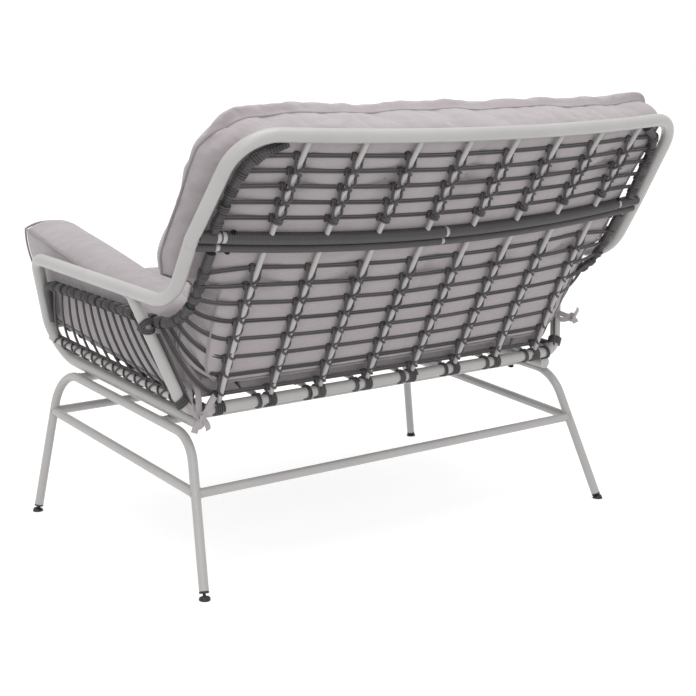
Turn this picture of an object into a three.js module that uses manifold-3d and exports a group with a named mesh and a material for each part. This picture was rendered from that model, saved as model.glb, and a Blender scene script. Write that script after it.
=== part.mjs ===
// A two-seat garden sofa: a wicker shell of bent steel tube on a welded tube base, with four
// levelling glides, a back in two parts and loose cushions.
// Millimetres. The front faces -Y, +X is the sitter's left and +Z is up. Sizes along Y count from
// midway between the feet. At the end the whole sofa moves so that the origin is under its middle.

import * as THREE from "three";
import { mergeVertices } from "three/addons/utils/BufferGeometryUtils.js";
import Module from "manifold-3d";

// Tube, rod and strand diameters
const baseTube = 18;
const shellTube = 25;
const postTube = 22;
const innerTube = 16;
const borderTube = 15;
const upperBarTube = 23;
const lowerBarTube = 17;
const frontRailTube = 18;
const ribRod = 10;
const deckRod = 10;
const strand = 6;
const armStrand = 5.5;

// Clearances
const fitGap = 0.3;
const cushionGap = 4;
const cutOver = 3;

// Base: where the leg axes meet the ground, and the corners of the leg loops before bending
const frontFootX = 515;
const rearFootX = 504;
const footY = 326;
const railX = 462;
const frontCornerY = -300;
const rearCornerY = 219;
const frontCornerZ = 306;
const rearCornerZ = 270;
const legBend = 78;
const frontStretcherZ = 217;
const rearStretcherZ = 174;
const frontCrossY = -223;
const rearCrossY = 110;

// Feet
const tubeWall = 1.5;
const plugFlange = 4;
const plugDepth = 24;
const stemThread = 6;
const stemLength = 20;
const stemRoom = 6;
const glidePad = 21;
const glideHeight = 7;
const glideEdge = 2;
const glideOut = 4;

// Arm loops: seam with the back, corners before bending, bend radii
const seamX = 542;
const seamY = 362;
const seamZ = 643;
const armBackX = 541;
const armBackY = 295;
const armBackZ = 532;
const armFrontX = 531;
const armFrontY = -250;
const armFrontZ = 551;
const seatRailX = 441;
const seatCornerY = -368;
const armBackBend = 200;
const armFrontBend = 46;
const seatCornerBend = 66;

// Upper back loop
const topCornerX = 520;
const topCornerY = 487;
const topCornerZ = 830;
const topBend = 80;
const topBowY = 28;
const topDropZ = 14;
const spigotLength = 40;
const shellWall = 3;

// Rear rail, posts, and the sheet of the back between rear rail and top rail
const rearRailY = 216;
const postBottomX = 470;
const postTopY = 146;
const postBend = 46;
const backBulge = 10;
const sideRise = 20;
const ribInset = 37.5;
const ribCount = 8;

// Wrapped inner rails, border rails and seat deck
const innerRailX = 500;
const innerDrop = 50;
const innerSetIn = 30;
const innerTopX = 440;
const innerBend = 46;
const innerEndDrop = 140;
const borderX = 456;
const borderLift = 34;
const deckFrontZ = 396;
const deckFrontBow = 30;
const deckSideX = 438;
const deckRibShift = 27;

// Weave: counts, and places along the height of the back as shares of it
const upperRows = 5;
const lowerRows = 8;
const armStrands = 12;
const deckRows = 10;
const crossbarShare = 0.597;
const upperRowShares = [0.686, 0.9165];
const lowerRowShares = [0.038, 0.502];
const innerCornerShare = 0.955;
const fanStart = 58;
const fanPitch = 28;
const fanKneeShare = 0.1;
const fanReachShare = 0.55;
const strandBow = 12;
const deckRowShares = [0.07, 0.93];
const deckSpanShares = [1, 0.5, 0, -0.5, -1];
const armTopShares = [0.1, 0.86];
const armBottomShares = [0.07, 0.93];

// Bolts
const boltRod = 6;
const boltHead = 13;
const boltHeadHeight = 4;
const barBoltX = 470;

// Cushions
const cushionRest = 0.8;
const seatThick = 84;
const seatFrontY = -330;
const seatCrown = 16;
const seatCellsAcross = 12;
const seatCells = 11;
const wedgeCells = 3;
const wedgeInset = 20;
const armCushionBottomX = 455;
const armCushionTopX = 504;
const armCushionTopRearX = 484;
const armCushionWidth = 112;
const armCushionFrontHeight = 178;
const armCushionRearHeight = 147;
const armCushionFrontY = -330;
const armCushionCrown = 40;
const armCushionLean = 22;
const armWedgeX = 430;
const armCellsAcross = 5;
const armCells = 12;
const backThick = 84;
const backOverLoop = 10;
const backInsideLoop = 50;
const backCrown = 36;
const backCorner = 45;
const backCellsAcross = 22;
const backHeightShares = [0.075, 1];
const backOutlineShares = [
  [0, 0.8], [0.09, 0.815], [0.19, 0.825], [0.29, 0.835], [0.385, 0.845], [0.425, 0.975], [0.5, 1],
  [0.6, 1], [0.7, 1], [0.8, 1], [0.88, 0.99], [0.95, 0.97], [1, 0.955],
];
const sidePull = 9;
const sideSwell = 7;
const tuftAcrossShares = [0.12, 0.31, 0.5, 0.69, 0.88];
const tuftUpShares = [0.41, 0.8];
const tuftDepth = 22;
const tuftSpread = 58;

const wasm = await Module();
wasm.setup();

// Small helpers
const V = (x, y, z) => new THREE.Vector3(x, y, z);
const mix = (a, b, t) => a + (b - a) * t;
const mixV = (a, b, t) => a.clone().lerp(b, t);
const flip = (p, side) => V(p.x * side, p.y, p.z);
const flipAll = (points, side) => points.map((p) => flip(p, side));
const range = (count) => [...Array(count).keys()];
const spread = ([first, last], count) => range(count).map((i) => mix(first, last, i / (count - 1)));

// Finishes
const finish = (color, roughness, metalness) =>
  new THREE.MeshStandardMaterial({ color, roughness, metalness });
const paint = { color: 0xb9b5b0, roughness: 0.45, metalness: 0.2 };
const wicker = { color: 0x4d4a49, roughness: 0.7, metalness: 0 };
const fabric = { color: 0xc6bcbe, roughness: 0.95, metalness: 0 };
const blackPlastic = { color: 0x1a1a1b, roughness: 0.5, metalness: 0 };
const zinc = { color: 0x2a2a2c, roughness: 0.4, metalness: 0.6 };

const sofa = new THREE.Group();

function add(name, geometry, look) {
  const mesh = new THREE.Mesh(geometry, finish(look.color, look.roughness, look.metalness));
  mesh.name = name;
  sofa.add(mesh);
}

// Solids
function toSolid(geometry) {
  const bare = geometry.clone();
  bare.deleteAttribute("normal");
  bare.deleteAttribute("uv");
  const merged = mergeVertices(bare, fitGap / 1000);
  return new wasm.Manifold(new wasm.Mesh({
    numProp: 3,
    vertProperties: new Float32Array(merged.attributes.position.array),
    triVerts: new Uint32Array(merged.index.array),
  }));
}

function toGeometry(solid) {
  const mesh = solid.getMesh();
  const geometry = new THREE.BufferGeometry();
  geometry.setAttribute("position", new THREE.BufferAttribute(mesh.vertProperties, 3));
  geometry.setIndex(new THREE.BufferAttribute(mesh.triVerts, 1));
  geometry.computeVertexNormals();
  return geometry;
}

// The largest piece: offcuts beyond a coped end fall away
function largest(solid) {
  const pieces = solid.decompose();
  return pieces.reduce((best, piece) => (piece.volume() > best.volume() ? piece : best));
}

const cutBy = (solid, cutters) => largest(cutters.reduce((left, cutter) => left.subtract(cutter), solid));
const joined = (solids) => solids.reduce((whole, solid) => whole.add(solid));

// A path that visits its points one step at a time, so straight stretches take a single step
class StepPath extends THREE.Curve {
  constructor(points) {
    super();
    this.points = points;
  }

  getPoint(t) {
    const last = this.points.length - 1;
    const i = Math.min(Math.floor(t * last), last - 1);
    return mixV(this.points[i], this.points[i + 1], t * last - i);
  }

  getPointAt(u) {
    return this.getPoint(u);
  }

  getTangentAt(u) {
    const last = this.points.length - 1;
    const i = Math.round(u * last);
    const before = this.points[Math.max(i, 1)].clone().sub(this.points[Math.max(i - 1, 0)]).normalize();
    const next = this.points[Math.min(i + 1, last)];
    const after = next.clone().sub(this.points[Math.min(i, last - 1)]).normalize();
    return before.add(after).normalize();
  }
}

function circle(diameter, sides) {
  return new THREE.Shape(range(sides).map((i) => {
    const angle = ((i + 0.5) * 2 * Math.PI) / sides;
    return new THREE.Vector2(Math.cos(angle), Math.sin(angle)).multiplyScalar(diameter / 2);
  }));
}

function tube(points, diameter, sides) {
  const path = new StepPath(points);
  const geometry = new THREE.ExtrudeGeometry(circle(diameter, sides), {
    steps: points.length - 1,
    bevelEnabled: false,
    extrudePath: path,
  });
  return toSolid(geometry);
}

const fat = (points, diameter, sides) => tube(points, diameter + 2 * fitGap, sides);

// Rounds the corners of a bent tube's centre line. A bend is limited by its straight stretches
function bent(corners, radius, stepAngle = Math.PI / 10) {
  const points = [corners[0].clone()];
  for (let i = 1; i < corners.length - 1; i += 1) {
    const into = corners[i].clone().sub(corners[i - 1]);
    const out = corners[i + 1].clone().sub(corners[i]);
    const room = Math.min(into.length(), out.length()) * 0.48;
    into.normalize();
    out.normalize();
    const angle = into.angleTo(out);
    const wanted = Array.isArray(radius) ? radius[i - 1] : radius;
    const reach = Math.min(wanted * Math.tan(angle / 2), room);
    const turn = reach / Math.tan(angle / 2);
    const start = corners[i].clone().addScaledVector(into, -reach);
    const inward = out.clone().sub(into).normalize();
    const centre = corners[i].clone().addScaledVector(inward, turn / Math.cos(angle / 2));
    const axis = into.clone().cross(out).normalize();
    const spoke = start.sub(centre);
    const steps = Math.max(3, Math.ceil(angle / stepAngle));
    for (let k = 0; k <= steps; k += 1) {
      points.push(centre.clone().add(spoke.clone().applyAxisAngle(axis, (angle * k) / steps)));
    }
  }
  points.push(corners.at(-1).clone());
  return points;
}

// The point a given distance along a line of points
function along(points, distance) {
  let left = distance;
  for (let i = 1; i < points.length; i += 1) {
    const step = points[i].distanceTo(points[i - 1]);
    if (left <= step) return mixV(points[i - 1], points[i], left / step);
    left -= step;
  }
  return points.at(-1).clone();
}

// A turned piece whose axis runs from an origin along a direction
function turned(profile, origin, direction, sides) {
  const shape = profile.map(([radius, height]) => new THREE.Vector2(radius, height));
  const geometry = new THREE.LatheGeometry(shape, sides);
  geometry.applyQuaternion(new THREE.Quaternion().setFromUnitVectors(V(0, 1, 0), direction));
  geometry.translate(origin.x, origin.y, origin.z);
  return toSolid(geometry);
}

const rod = (origin, direction, radius, low, high, sides) =>
  turned([[0, low], [radius, low], [radius, high], [0, high]], origin, direction, sides);

// Base
const onLine = (a, b, z) => mixV(a, b, (z - a.z) / (b.z - a.z));
const baseRailZ = (y) => mix(frontCornerZ, rearCornerZ, (y - frontCornerY) / (rearCornerY - frontCornerY));
const frontGround = V(frontFootX, -footY, 0);
const rearGround = V(rearFootX, footY, 0);
const frontCorner = V(railX, frontCornerY, frontCornerZ);
const rearCorner = V(railX, rearCornerY, rearCornerZ);
const outFor = (side) => (side > 0 ? glideOut : 0);
const flangeLow = (side) => glideHeight + fitGap + outFor(side);
const tubeLow = (side) => flangeLow(side) + plugFlange;
const sides = [["left", 1], ["right", -1]];
const ends = [["front", frontGround, frontCorner], ["rear", rearGround, rearCorner]];
const upLeg = (ground, corner) => corner.clone().sub(ground).normalize();

function legLoopLine(side) {
  const low = tubeLow(side);
  const front = frontGround.clone().addScaledVector(upLeg(frontGround, frontCorner), low);
  const rear = rearGround.clone().addScaledVector(upLeg(rearGround, rearCorner), low);
  return flipAll(bent([front, frontCorner, rearCorner, rear], legBend), side);
}

const frontJoint = onLine(frontGround, frontCorner, frontStretcherZ);
const rearJoint = onLine(rearGround, rearCorner, rearStretcherZ);
const fatLegs = sides.map(([, side]) => fat(legLoopLine(side), baseTube, 10));
const fatSideStretchers = sides.map(([, side]) => fat(flipAll([frontJoint, rearJoint], side), baseTube, 10));

// Leg loops, drilled for their plugs, with their plugs and glides
sides.forEach(([hand, side]) => {
  const plugRadius = baseTube / 2 - tubeWall;
  const bores = [];
  ends.forEach(([end, ground, corner]) => {
    const origin = flip(ground, side);
    const up = flip(upLeg(ground, corner), side);
    const low = flangeLow(side);
    const seat = tubeLow(side);
    bores.push(rod(origin, up, plugRadius, seat - cutOver, seat + plugDepth + stemRoom, 12));
    const boreRadius = stemThread / 2 + fitGap;
    add(`foot_plug_${end}_${hand}`, toGeometry(turned([
      [boreRadius, low],
      [baseTube / 2, low],
      [baseTube / 2, seat - fitGap],
      [plugRadius - fitGap, seat - fitGap],
      [plugRadius - fitGap, seat + plugDepth],
      [boreRadius, seat + plugDepth],
      [boreRadius, low],
    ], origin, up, 12)), blackPlastic);
    const pad = turned([
      [0, -glideHeight],
      [glidePad / 2, -glideHeight],
      [glidePad / 2, glideEdge],
      [glidePad / 2 - glideEdge, glideHeight - glideEdge],
      [stemThread, glideHeight],
      [stemThread / 2, glideHeight],
      [stemThread / 2, glideHeight + stemLength],
      [0, glideHeight + stemLength],
    ], origin, up, 12);
    const under = new THREE.BoxGeometry(glidePad * 2, glidePad * 2, glidePad);
    under.translate(origin.x, origin.y, -glidePad / 2);
    add(`glide_${end}_${hand}`, toGeometry(largest(pad.subtract(toSolid(under)))), blackPlastic);
  });
  add(`leg_loop_${hand}`, toGeometry(cutBy(tube(legLoopLine(side), baseTube, 10), bores)), paint);
});

// Stretchers and cross tubes, coped to what they meet
sides.forEach(([hand, side]) => {
  const line = flipAll([frontJoint, rearJoint], side);
  add(`side_stretcher_${hand}`, toGeometry(cutBy(tube(line, baseTube, 10), fatLegs)), paint);
});
[["front", frontJoint], ["rear", rearJoint]].forEach(([end, joint]) => {
  const line = [joint, flip(joint, -1)];
  const cutters = [...fatLegs, ...fatSideStretchers];
  add(`${end}_stretcher`, toGeometry(cutBy(tube(line, baseTube, 10), cutters)), paint);
});

// Shell lines. The arm loop runs from the seam over the arm, down the upright and back as seat rail
const railSlope = Math.atan2(frontCornerZ - rearCornerZ, rearCornerY - frontCornerY);
const seatRailZ = (y) => baseRailZ(y) + ((baseTube + shellTube) / 2 + fitGap) / Math.cos(railSlope);
const seam = V(seamX, seamY, seamZ);
const armBack = V(armBackX, armBackY, armBackZ);
const armFront = V(armFrontX, armFrontY, armFrontZ);
const seatCorner = V(seatRailX, seatCornerY, seatRailZ(seatCornerY));
const seatRailEnd = V(seatRailX, rearRailY, seatRailZ(rearRailY));
const armLoopLine = bent(
  [seam, armBack, armFront, seatCorner, seatRailEnd],
  [armBackBend, armFrontBend, seatCornerBend],
);
const fatArmLoops = sides.map(([, side]) => fat(flipAll(armLoopLine, side), shellTube, 12));
const upright = (z) => onLine(armFront, seatCorner, z);
const armAt = (y) => mixV(armFront, armBack, (y - armFrontY) / (armBackY - armFrontY));

// Top rail and upper back loop
function topRail(x) {
  const sag = 1 - (x / topCornerX) ** 2;
  return V(x, topCornerY + topBowY * sag, topCornerZ - topDropZ * sag);
}
const topCorner = V(topCornerX, topCornerY, topCornerZ);
const railShares = [0.7, 0.47, 0.24, 0, -0.24, -0.47, -0.7];
const topPoints = railShares.map((share) => topRail(share * topCornerX));
const seamUp = seam.clone().sub(armBack).normalize();
const aboveSeam = (height) => seam.clone().addScaledVector(seamUp, height);
const knee = aboveSeam(shellTube / 2);
const backLoopLine = [
  aboveSeam(fitGap),
  ...bent([knee, topCorner, topPoints[0]], topBend),
  ...topPoints.slice(1, -1),
  ...bent([topPoints.at(-1), flip(topCorner, -1), flip(knee, -1)], topBend),
  flip(aboveSeam(fitGap), -1),
];
const fatBackLoop = fat([aboveSeam(-fitGap), ...backLoopLine, flip(aboveSeam(-fitGap), -1)], shellTube, 12);

// Rear U tube: rear rail bent up into two posts that meet the arms
const rearRailZ = seatRailZ(rearRailY) + (shellTube + postTube) / 2 + fitGap;
const postTop = armAt(postTopY);
const postFoot = V(postBottomX, rearRailY, rearRailZ);
const rearLine = bent([postTop, postFoot, flip(postFoot, -1), flip(postTop, -1)], postBend);
const fatRear = fat(rearLine, postTube, 10);

// The sheet in which the back's ribs lie, by distance from the middle and share of the height
const backForward = (() => {
  const rise = topRail(0).sub(V(0, rearRailY, rearRailZ)).normalize();
  return V(0, -rise.z, rise.y);
})();
const backHeight = topRail(0).distanceTo(V(0, rearRailY, rearRailZ));
function backPoint(x, share, forward = 0) {
  const belly = 4 * share * (1 - share);
  const point = mixV(V(x, rearRailY, rearRailZ), topRail(x), share);
  point.z += sideRise * belly * (x / armBackX) ** 2;
  return point.addScaledVector(backForward, backBulge * belly + forward);
}

// Crossbars
const barTubes = { lower: lowerBarTube, upper: upperBarTube };
const barShares = {
  lower: crossbarShare - (lowerBarTube + fitGap) / 2 / backHeight,
  upper: crossbarShare + (upperBarTube + fitGap) / 2 / backHeight,
};
const barXShares = [1, 0.8, 0.6, 0.4, 0.2, 0, -0.2, -0.4, -0.6, -0.8, -1];
const barLine = (share) => barXShares.map((part) => backPoint(part * seamX, share));
const barSolids = Object.fromEntries(Object.entries(barShares).map(([level, share]) => [
  level, { solid: tube(barLine(share), barTubes[level], 10), fat: fat(barLine(share), barTubes[level], 10) },
]));

// Inner rails, carried inside the loops and wrapped with wicker
const besideUpright = (() => {
  const rise = armFront.clone().sub(seatCorner).normalize();
  return ((shellTube + innerTube) / 2 + 2 * fitGap) / Math.sqrt(1 - rise.y ** 2);
})();
const beside = (z) => upright(z).add(V(0, besideUpright, 0));
const innerLowerLine = bent([
  backPoint(innerRailX, barShares.lower),
  V(innerRailX, armBackY - innerSetIn, armBackZ - innerDrop),
  beside(armFrontZ - innerDrop),
  beside(armFrontZ - innerEndDrop),
], [armBackBend + innerDrop, innerBend]);
const innerUpperLine = bent([
  backPoint(innerRailX, barShares.upper),
  backPoint(innerRailX, innerCornerShare),
  topRail(innerTopX),
], innerBend);
const fatInner = sides.flatMap(([, side]) => [
  fat(flipAll(innerLowerLine, side), innerTube, 8),
  fat(flipAll(innerUpperLine, side), innerTube, 8),
]);

// Border rails under the arm panels
const borderZ = (y) => seatRailZ(y) + borderLift;
const borderFrontY = upright(borderZ(seatCornerY)).y;
const borderLine = [
  V(borderX, borderFrontY, borderZ(borderFrontY)),
  V(borderX, rearRailY, borderZ(rearRailY)),
];
const fatBorders = sides.map(([, side]) => fat(flipAll(borderLine, side), borderTube, 8));

// Bolts and the holes for them
const boltRadius = boltRod / 2;
const holeRadius = boltRadius + fitGap;
const shellBolts = sides.flatMap(([hand, side]) => [["front", frontCrossY], ["rear", rearCrossY]].map(
  ([end, y]) => ({ name: `shell_bolt_${end}_${hand}`, at: V(seatRailX * side, y, baseRailZ(y)), y }),
));
const railUp = V(0, Math.sin(railSlope), Math.cos(railSlope));
const boltLow = -baseTube / 2 - fitGap;
const boltHigh = (baseTube + shellTube) / 2;
const boltHoles = shellBolts.map(({ at }) =>
  rod(at, railUp, holeRadius, boltLow - cutOver, boltHigh + fitGap, 8));
shellBolts.forEach(({ name, at }) => {
  add(name, toGeometry(turned([
    [0, boltLow - boltHeadHeight],
    [boltHead / 2 - fitGap * 3, boltLow - boltHeadHeight],
    [boltHead / 2, boltLow - boltHeadHeight + fitGap * 3],
    [boltHead / 2, boltLow],
    [boltRadius, boltLow],
    [boltRadius, boltHigh],
    [0, boltHigh],
  ], at, railUp, 8)), zinc);
});

// Cross tubes of the base, which carry the seat rails
[["front", frontCrossY], ["rear", rearCrossY]].forEach(([end, y]) => {
  const from = V(railX, y, baseRailZ(y));
  const solid = tube([from, flip(from, -1)], baseTube, 10);
  add(`${end}_cross_tube`, toGeometry(cutBy(solid, [...fatLegs, ...boltHoles])), paint);
});

// Bolts through the two crossbars
const barUp = backPoint(0, barShares.upper).sub(backPoint(0, barShares.lower)).normalize();
const underBars = lowerBarTube + 2 * fitGap;
const overBars = upperBarTube + 2 * fitGap;
const barBolts = sides.map(([hand, side]) => ({ hand, at: backPoint(barBoltX * side, crossbarShare) }));
const barHoles = barBolts.map(({ at }) =>
  rod(at, barUp, holeRadius, -underBars - cutOver, overBars + cutOver, 8));
barBolts.forEach(({ hand, at }) => {
  add(`crossbar_bolt_${hand}`, toGeometry(turned([
    [0, -underBars - boltHeadHeight],
    [boltHead / 2, -underBars - boltHeadHeight],
    [boltHead / 2, -underBars],
    [boltRadius, -underBars],
    [boltRadius, overBars],
    [boltHead / 2, overBars],
    [boltHead / 2, overBars + boltHeadHeight],
    [0, overBars + boltHeadHeight],
  ], at, barUp, 8)), zinc);
});

// Arm loops with a socket at the seam, and the back loop with its two spigots
const socketRadius = shellTube / 2 - shellWall;
const seamDown = seamUp.clone().negate();
sides.forEach(([hand, side]) => {
  const deep = spigotLength + cutOver;
  const socket = rod(flip(seam, side), flip(seamDown, side), socketRadius, -cutOver, deep, 10);
  const loop = tube(flipAll(armLoopLine, side), shellTube, 12);
  add(`arm_loop_${hand}`, toGeometry(cutBy(loop, [socket, ...boltHoles])), paint);
});
const spigots = sides.map(([, side]) =>
  rod(flip(seam, side), flip(seamDown, side), socketRadius - fitGap, -shellWall, spigotLength, 10));
add("back_loop", toGeometry(joined([tube(backLoopLine, shellTube, 12), ...spigots])), paint);
add("rear_rail_and_posts", toGeometry(cutBy(tube(rearLine, postTube, 10), fatArmLoops)), paint);

Object.entries(barSolids).forEach(([level, bar]) => {
  const cutters = [...fatArmLoops, fatBackLoop, ...barHoles];
  add(`crossbar_${level}`, toGeometry(cutBy(bar.solid, cutters)), wicker);
});

sides.forEach(([hand, side]) => {
  const lower = tube(flipAll(innerLowerLine, side), innerTube, 8);
  const lowerCutters = [barSolids.lower.fat, barSolids.upper.fat, fatRear, ...fatArmLoops];
  add(`inner_rail_lower_${hand}`, toGeometry(cutBy(lower, lowerCutters)), wicker);
  const upper = tube(flipAll(innerUpperLine, side), innerTube, 8);
  const upperCutters = [barSolids.lower.fat, barSolids.upper.fat, fatBackLoop];
  add(`inner_rail_upper_${hand}`, toGeometry(cutBy(upper, upperCutters)), wicker);
  const border = tube(flipAll(borderLine, side), borderTube, 8);
  add(`border_rail_${hand}`, toGeometry(cutBy(border, [...fatArmLoops, fatRear])), paint);
});

// Back ribs, lower and upper
const ribXs = spread([innerTopX - ribInset, ribInset - innerTopX], ribCount);
const ribLine = (x, low, high) => spread([low, high], 4).map((share) => backPoint(x, share));
ribXs.forEach((x, i) => {
  const lower = tube(ribLine(x, 0, barShares.lower), ribRod, 8);
  add(`rib_lower_${i + 1}`, toGeometry(cutBy(lower, [fatRear, barSolids.lower.fat])), paint);
  const upper = tube(ribLine(x, barShares.upper, 1), ribRod, 8);
  add(`rib_upper_${i + 1}`, toGeometry(cutBy(upper, [barSolids.upper.fat, fatBackLoop])), paint);
});

// Seat grid: front rail and deck rods, welded into one frame
const frontRailEnd = upright(deckFrontZ);
const frontRailAt = (x) => V(x, frontRailEnd.y - deckFrontBow * (1 - (x / frontRailEnd.x) ** 2), deckFrontZ);
const deckRearZ = rearRailZ + postTube / 2;
const deckUp = (() => {
  const run = V(0, rearRailY, deckRearZ).sub(frontRailAt(0)).normalize();
  return V(0, -run.z, run.y);
})();
const deckPoint = (x, share, lift = 0) =>
  mixV(frontRailAt(x), V(x, rearRailY, deckRearZ), share).addScaledVector(deckUp, lift);
const deckXs = [deckSideX, ...ribXs.slice(1).map((x) => x + deckRibShift), -deckSideX];
const frontXShares = [1, 0.75, 0.5, 0.25, 0, -0.25, -0.5, -0.75, -1];
const frontRailLine = frontXShares.map((part) => frontRailAt(part * frontRailEnd.x));
const fatFrontRail = fat(frontRailLine, frontRailTube, 10);
const gridCutters = [...fatArmLoops, fatRear, ...fatInner, ...fatBorders];
const deckRods = deckXs.map((x) => tube([deckPoint(x, 0), deckPoint(x, 1)], deckRod, 6));
const grid = joined([tube(frontRailLine, frontRailTube, 10), ...deckRods]);
add("seat_grid", toGeometry(cutBy(grid, gridCutters)), paint);

// Weaves. A row lies on the sitter's side of the ribs, and runners along some ribs tie the rows
const rowLift = (ribRod + strand) / 2 + fitGap;
const rowXs = [innerRailX, ...ribXs, -innerRailX];
const runnerXs = ribXs.filter((x, i) => i % 2 === 0 || i === ribCount - 1);
const runner = (x, [low, high]) => tube(
  spread([low, high], 5).map((share) => backPoint(x, share, rowLift)), strand, 4);
const upperWeave = spread(upperRowShares, upperRows).map((share) =>
  tube(rowXs.map((x) => backPoint(x, share, rowLift)), strand, 4));
const upperRunners = runnerXs.map((x) => runner(x, upperRowShares));
const weaveCutters = [...fatInner, fatBackLoop, barSolids.upper.fat, barSolids.lower.fat, fatRear];
add("back_weave_upper", toGeometry(cutBy(joined([...upperWeave, ...upperRunners]), weaveCutters)), wicker);

// Beyond the outer ribs the lower rows fan out to the bend of the inner rails
const fans = spread(lowerRowShares, lowerRows).reverse().map((share, row) => {
  const from = backPoint(ribXs[0], share, rowLift);
  const to = along(innerLowerLine, fanStart + fanPitch * row);
  const { x, y, z } = mixV(from, to, fanKneeShare);
  const turn = V(mix(from.x, to.x, fanReachShare), y, z);
  return { share, points: new THREE.QuadraticBezierCurve3(from, turn, to).getPoints(3).slice(1) };
});
const lowerWeave = fans.map(({ share, points }) => {
  const middle = ribXs.map((x) => backPoint(x, share, rowLift));
  return tube([...points.toReversed(), ...middle, ...flipAll(points, -1)], strand, 4);
});
const lowerRunners = runnerXs.map((x) => runner(x, lowerRowShares));
add("back_weave_lower", toGeometry(cutBy(joined([...lowerWeave, ...lowerRunners]), weaveCutters)), wicker);

// Arm panels: strands bowed outward between the inner rail and a lashed strand on the border rail
sides.forEach(([hand, side]) => {
  const lift = (borderTube + armStrand) / 2 + fitGap;
  const base = borderLine.map((p) => p.clone().add(V(0, 0, lift)));
  const tops = spread(armTopShares, armStrands).map((share) => armTop(share));
  const bottoms = spread(armBottomShares, armStrands).map((share) => mixV(base[0], base[1], share));
  const strands = tops.map((top, i) => {
    const middle = mixV(top, bottoms[i], 0.5).add(V(strandBow, 0, -strandBow));
    const curve = new THREE.QuadraticBezierCurve3(top, middle, bottoms[i]);
    return tube(flipAll(curve.getPoints(3), side), armStrand, 4);
  });
  const lashing = tube(flipAll([bottoms[0], bottoms.at(-1)], side), armStrand, 6);
  const cutters = [...fatInner, ...fatBorders, ...fatArmLoops, fatRear];
  add(`arm_weave_${hand}`, toGeometry(cutBy(joined([lashing, ...strands]), cutters)), wicker);
});

function armTop(share) {
  const front = beside(armFrontZ - innerDrop);
  const back = V(innerRailX, armBackY - innerSetIn, armBackZ - innerDrop);
  return mixV(front, V(mix(front.x, back.x, 0.8), postTopY, mix(front.z, back.z, 0.8)), share);
}

// Seat deck: rows across the deck rods
const deckLift = (deckRod + strand) / 2 + fitGap;
const deckRowXs = deckSpanShares.map((part) => part * (deckSideX + deckRod / 2));
const deckStrands = spread(deckRowShares, deckRows).map((share) =>
  tube(deckRowXs.map((x) => deckPoint(x, share, deckLift)), strand, 4));
const deckRunners = [deckSideX, deckXs[4], -deckSideX].map((x) =>
  tube([deckPoint(x, deckRowShares[0], deckLift), deckPoint(x, deckRowShares[1], deckLift)], strand, 4));
const deckCutters = [fatFrontRail, fatRear, ...fatInner];
add("seat_weave", toGeometry(cutBy(joined([...deckStrands, ...deckRunners]), deckCutters)), wicker);

// Cushions. A block of cells whose surface is mapped by a function of three shares
function block(cellsU, cellsV, cellsW, place) {
  const positions = [];
  const index = [];
  const node = (i, j, k) => place(i / cellsU, j / cellsV, k / cellsW);
  const face = (countA, countB, at) => {
    for (let a = 0; a < countA; a += 1) {
      for (let b = 0; b < countB; b += 1) {
        const base = positions.length / 3;
        [at(a, b), at(a + 1, b), at(a + 1, b + 1), at(a, b + 1)].forEach((p) => positions.push(...p));
        index.push(base, base + 1, base + 2, base, base + 2, base + 3);
      }
    }
  };
  face(cellsU, cellsV, (a, b) => node(a, b, cellsW));
  face(cellsV, cellsU, (a, b) => node(b, a, 0));
  face(cellsV, cellsW, (a, b) => node(cellsU, a, b));
  face(cellsW, cellsV, (a, b) => node(0, b, a));
  face(cellsW, cellsU, (a, b) => node(b, cellsV, a));
  face(cellsU, cellsW, (a, b) => node(a, 0, b));
  const geometry = new THREE.BufferGeometry();
  geometry.setAttribute("position", new THREE.BufferAttribute(new Float32Array(positions), 3));
  geometry.setIndex(index);
  return toSolid(geometry);
}

const dome = (t, power) => 1 - Math.abs(2 * t - 1) ** power;

// What lies behind the fanned strands at one end of the back, as hulls between neighbouring strands
function behindFan(side) {
  const lift = backForward.clone().multiplyScalar(strand / 2 + cushionRest * 2);
  const back = backForward.clone().multiplyScalar(-backThick);
  const lines = fans.map((fan) => [backPoint(ribXs[0], fan.share, rowLift), ...fan.points]);
  const hulls = lines.slice(1).flatMap((line, i) => line.slice(1).map((p, k) => {
    const patch = [line[k], p, lines[i][k], lines[i][k + 1]].map((q) => flip(q, side).add(lift));
    const corners = [...patch, ...patch.map((q) => q.clone().add(back))];
    return wasm.Manifold.hull(corners.map((q) => q.toArray()));
  }));
  return joined(hulls);
}

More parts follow.
